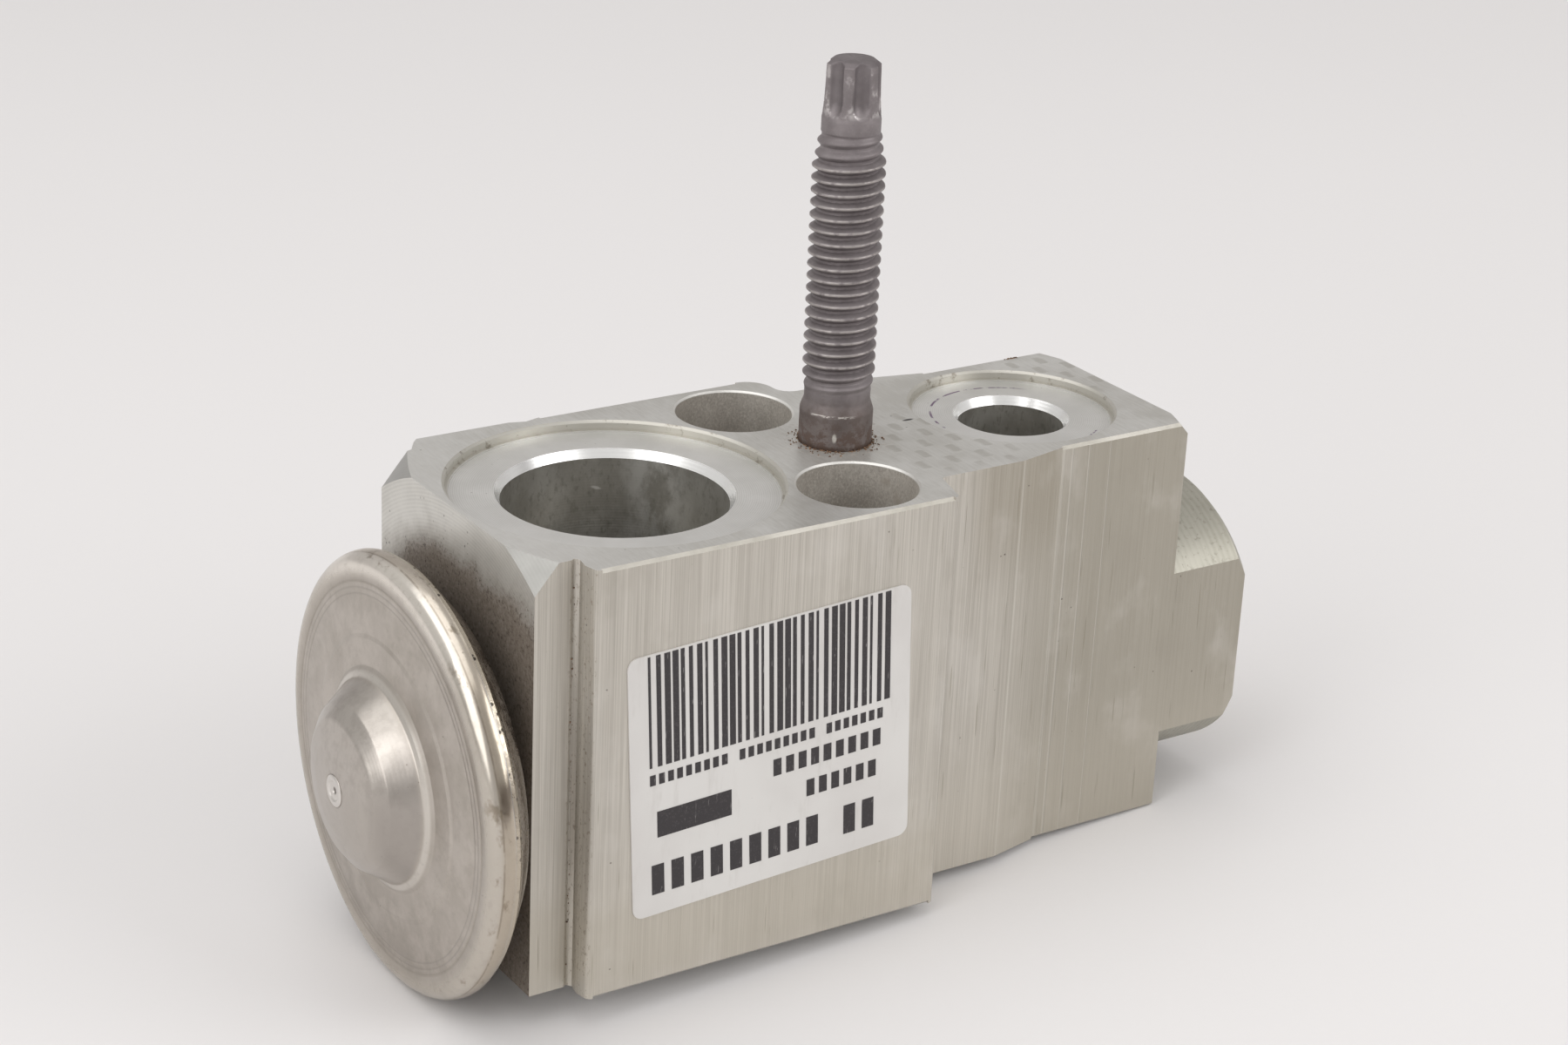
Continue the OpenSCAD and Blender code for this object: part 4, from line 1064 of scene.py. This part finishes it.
def print_ink():
    finish = Finish("print ink")
    grain = finish.noise((0.16, 0.16, 0.16), 2.0)
    missed = finish.noise((0.14, 0.14, 1.2), 2.0).between(0.66, 0.74)
    base = finish.coats("#302c2e", (grain.between(0.52, 0.75) * 0.4, "#565153"),
                        (missed * 0.5, "#a29e9c"))
    finish.set(Base_Color=base, Roughness=0.5 + grain * 0.1, Normal=finish.bump(grain, 0.003))
    return finish.material


def dress(node, material):
    """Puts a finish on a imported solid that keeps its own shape."""
    nodes[node].data.materials.clear()
    nodes[node].data.materials.append(material)


dress("label", film_white())
dress("label_print", print_ink())

# %% [markdown]
# Inside the block nothing is seen in the photograph, but the part is looked at through its ports
# and moved, so the inner pieces get honest finishes too: ground steel, turned brass and rubber.

# %% Inner finishes


def ground_steel():
    finish = Finish("ground steel")
    marks = finish.noise((0.11, 3.3, 3.3), 2.0)
    cloud = finish.noise((2.5, 2.5, 2.5), 3.0)
    film = finish.noise((1.1, 1.1, 1.1), 4.0, 0.7).between(0.56, 0.72)
    base = finish.coats("#9b9b9c", (cloud.between(0.34, 0.66), "#b9b9ba"), (film * 0.3, "#7d7468"))
    finish.set(Base_Color=base, Metallic=1.0, Roughness=0.22 + marks * 0.12 + film * 0.1,
               Normal=finish.bump(marks, 0.006))
    return finish.material


def turned_brass():
    finish = Finish("turned brass")
    radius = finish.distance(finish.axis("Y"), finish.axis("Z", AXIS_Z))
    rings = ring_marks(finish, radius, 0.2)
    cloud = finish.noise((3.3, 3.3, 3.3), 4.0, 0.6)
    base = finish.coats("#a98a4e", (cloud.between(0.34, 0.66), "#cdb06e"),
                        (finish.specks(0.9, 0.12, 3.0, 0.52) * 0.4, "#6f5a35"))
    finish.set(Base_Color=base, Metallic=1.0, Roughness=0.26 + cloud * 0.12,
               Normal=finish.bump(rings, 0.008))
    return finish.material


def seal_rubber():
    finish = Finish("seal rubber")
    grain = finish.noise((0.28, 0.28, 0.28), 3.0)
    base = finish.coats("#161617", (grain.between(0.34, 0.7), "#2a2a2b"))
    finish.set(Base_Color=base, Roughness=0.55 + grain * 0.15, Normal=finish.bump(grain, 0.01))
    return finish.material


inner_finishes = (
    (ground_steel(), ("diaphragm", "push_rod", "seal_retainer", "valve_ball", "damper_spring",
                      "superheat_spring")),
    (turned_brass(), ("diaphragm_plate", "ball_carrier", "spring_seat", "adjusting_screw")),
    (seal_rubber(), ("head_seal", "rod_seal", "adjuster_seal")))
for material, names in inner_finishes:
    for name in names:
        dress(name, material)
    print(material.name, "on", ", ".join(names))

# %% [markdown]
# The valve lies as it does in the photograph: on the lower rim of its head and on the bottom edge
# of its tail, so the floor is tilted by a few degrees against the block. The floor is a large
# sheet of pale paper that curves up far behind. Paper is matt, with a faint sheen that shows a
# ghost of the block next to its foot.

# %% Floor
HEAD_FOOT = Vector((END - 4.45 * MM, 0, head_low.z))
TAIL_FOOT = Vector((TAIL_END, 0, 0))
FLOOR_TILT = math.atan2(TAIL_FOOT.z - HEAD_FOOT.z, TAIL_FOOT.x - HEAD_FOOT.x)
BEND = 1.2


def studio_paper():
    finish = Finish("studio paper")
    cloud = finish.noise((160, 160, 160), 2.0)
    fibre = finish.noise((0.5, 0.5, 0.5), 3.0)
    finish.set(Base_Color=finish.coats("#e5e3e3", (cloud, "#e8e6e6"), (fibre * 0.1, "#dddada")),
               Roughness=0.62 + fibre * 0.1)
    return finish.material


def make_floor():
    """A sheet that is flat, then bends up behind: height grows with the square past the bend."""
    across = np.linspace(-3.0, 3.0, 24)
    along = np.concatenate([np.linspace(-1.5, BEND, 20), np.linspace(BEND + 0.1, 3.2, 20)])
    a, b = np.meshgrid(across, along)
    yaw = math.atan2(CAMERA_FORWARD.x, CAMERA_FORWARD.y)
    x = a * math.cos(yaw) + b * math.sin(yaw)
    y = b * math.cos(yaw) - a * math.sin(yaw)
    level = HEAD_FOOT.z + (x - HEAD_FOOT.x) * math.tan(FLOOR_TILT)
    points = np.stack([x, y, level + 0.75 * np.clip(b - BEND, 0, None) ** 2], axis=-1)
    index = np.arange(a.size).reshape(a.shape)
    quads = np.stack([index[:-1, :-1], index[:-1, 1:], index[1:, 1:], index[1:, :-1]], axis=-1)
    floor = new_piece("floor", points, quads.reshape(-1, 4).tolist())
    floor.data.polygons.foreach_set("use_smooth", [True] * len(floor.data.polygons))
    floor.data.materials.append(studio_paper())
    return floor


floor = make_floor()
print("floor tilt", round(math.degrees(FLOOR_TILT), 2), "degrees")

# %% [markdown]
# The light is a big soft box above, a weaker one to the left, a third high on the right that puts
# the white streak on the head's rim, and a pale world that fills the shadows. Metal also needs
# something dark to reflect: a long brown card stands low in front on the right, where the room
# would be. It is only seen in reflections and takes no light from the object.

# %% Light


def soft_box(name, place, size, power, tint="#ffffff"):
    """A square lamp that looks at the middle of the block."""
    data = bpy.data.lights.new(name, "AREA")
    data.shape = "RECTANGLE"
    data.size, data.size_y = size
    data.energy = power
    data.color = colour(tint)[:3]
    lamp = bpy.data.objects.new(name, data)
    aim = Vector((0, 0, 0.02)) - Vector(place)
    lamp.matrix_world = Matrix.Translation(place) @ aim.to_track_quat("-Z", "Y").to_matrix().to_4x4()
    bpy.context.scene.collection.objects.link(lamp)
    return lamp


def pale_world(strength):
    world = bpy.data.worlds.new("pale world")
    world.use_nodes = True
    background = world.node_tree.nodes["Background"]
    background.inputs[0].default_value = colour("#f3f1ef")
    background.inputs[1].default_value = strength
    bpy.context.scene.world = world


def room_card():
    """Part of a cylinder about the block: the turn and the height are its two parameters."""
    turn = np.radians(np.linspace(-112, -22, 24))
    height = np.linspace(-0.01, 0.16, 4)
    t, h = np.meshgrid(turn, height)
    points = np.stack([0.6 * np.cos(t), 0.6 * np.sin(t), h], axis=-1)
    index = np.arange(t.size).reshape(t.shape)
    quads = np.stack([index[:-1, :-1], index[:-1, 1:], index[1:, 1:], index[1:, :-1]], axis=-1)
    card = new_piece("room_card", points, quads.reshape(-1, 4).tolist())
    finish = Finish("room brown")
    glow = finish.noise((90, 90, 90), 2.0)
    finish.set(Base_Color=finish.coats("#3c2f26", (glow, "#57473b")), Roughness=1.0)
    card.data.materials.append(finish.material)
    card.visible_camera = False
    card.visible_diffuse = False
    card.visible_shadow = False
    return card


soft_box("top box", (-0.30, 0.05, 0.75), (0.9, 0.9), 2.6)
soft_box("left box", (-0.80, -0.20, 0.40), (0.6, 0.6), 2.0)
soft_box("right box", (0.42, -0.55, 0.44), (0.5, 0.5), 2.1)
pale_world(0.66)
room_card()
bpy.context.scene.view_settings.view_transform = "Standard"
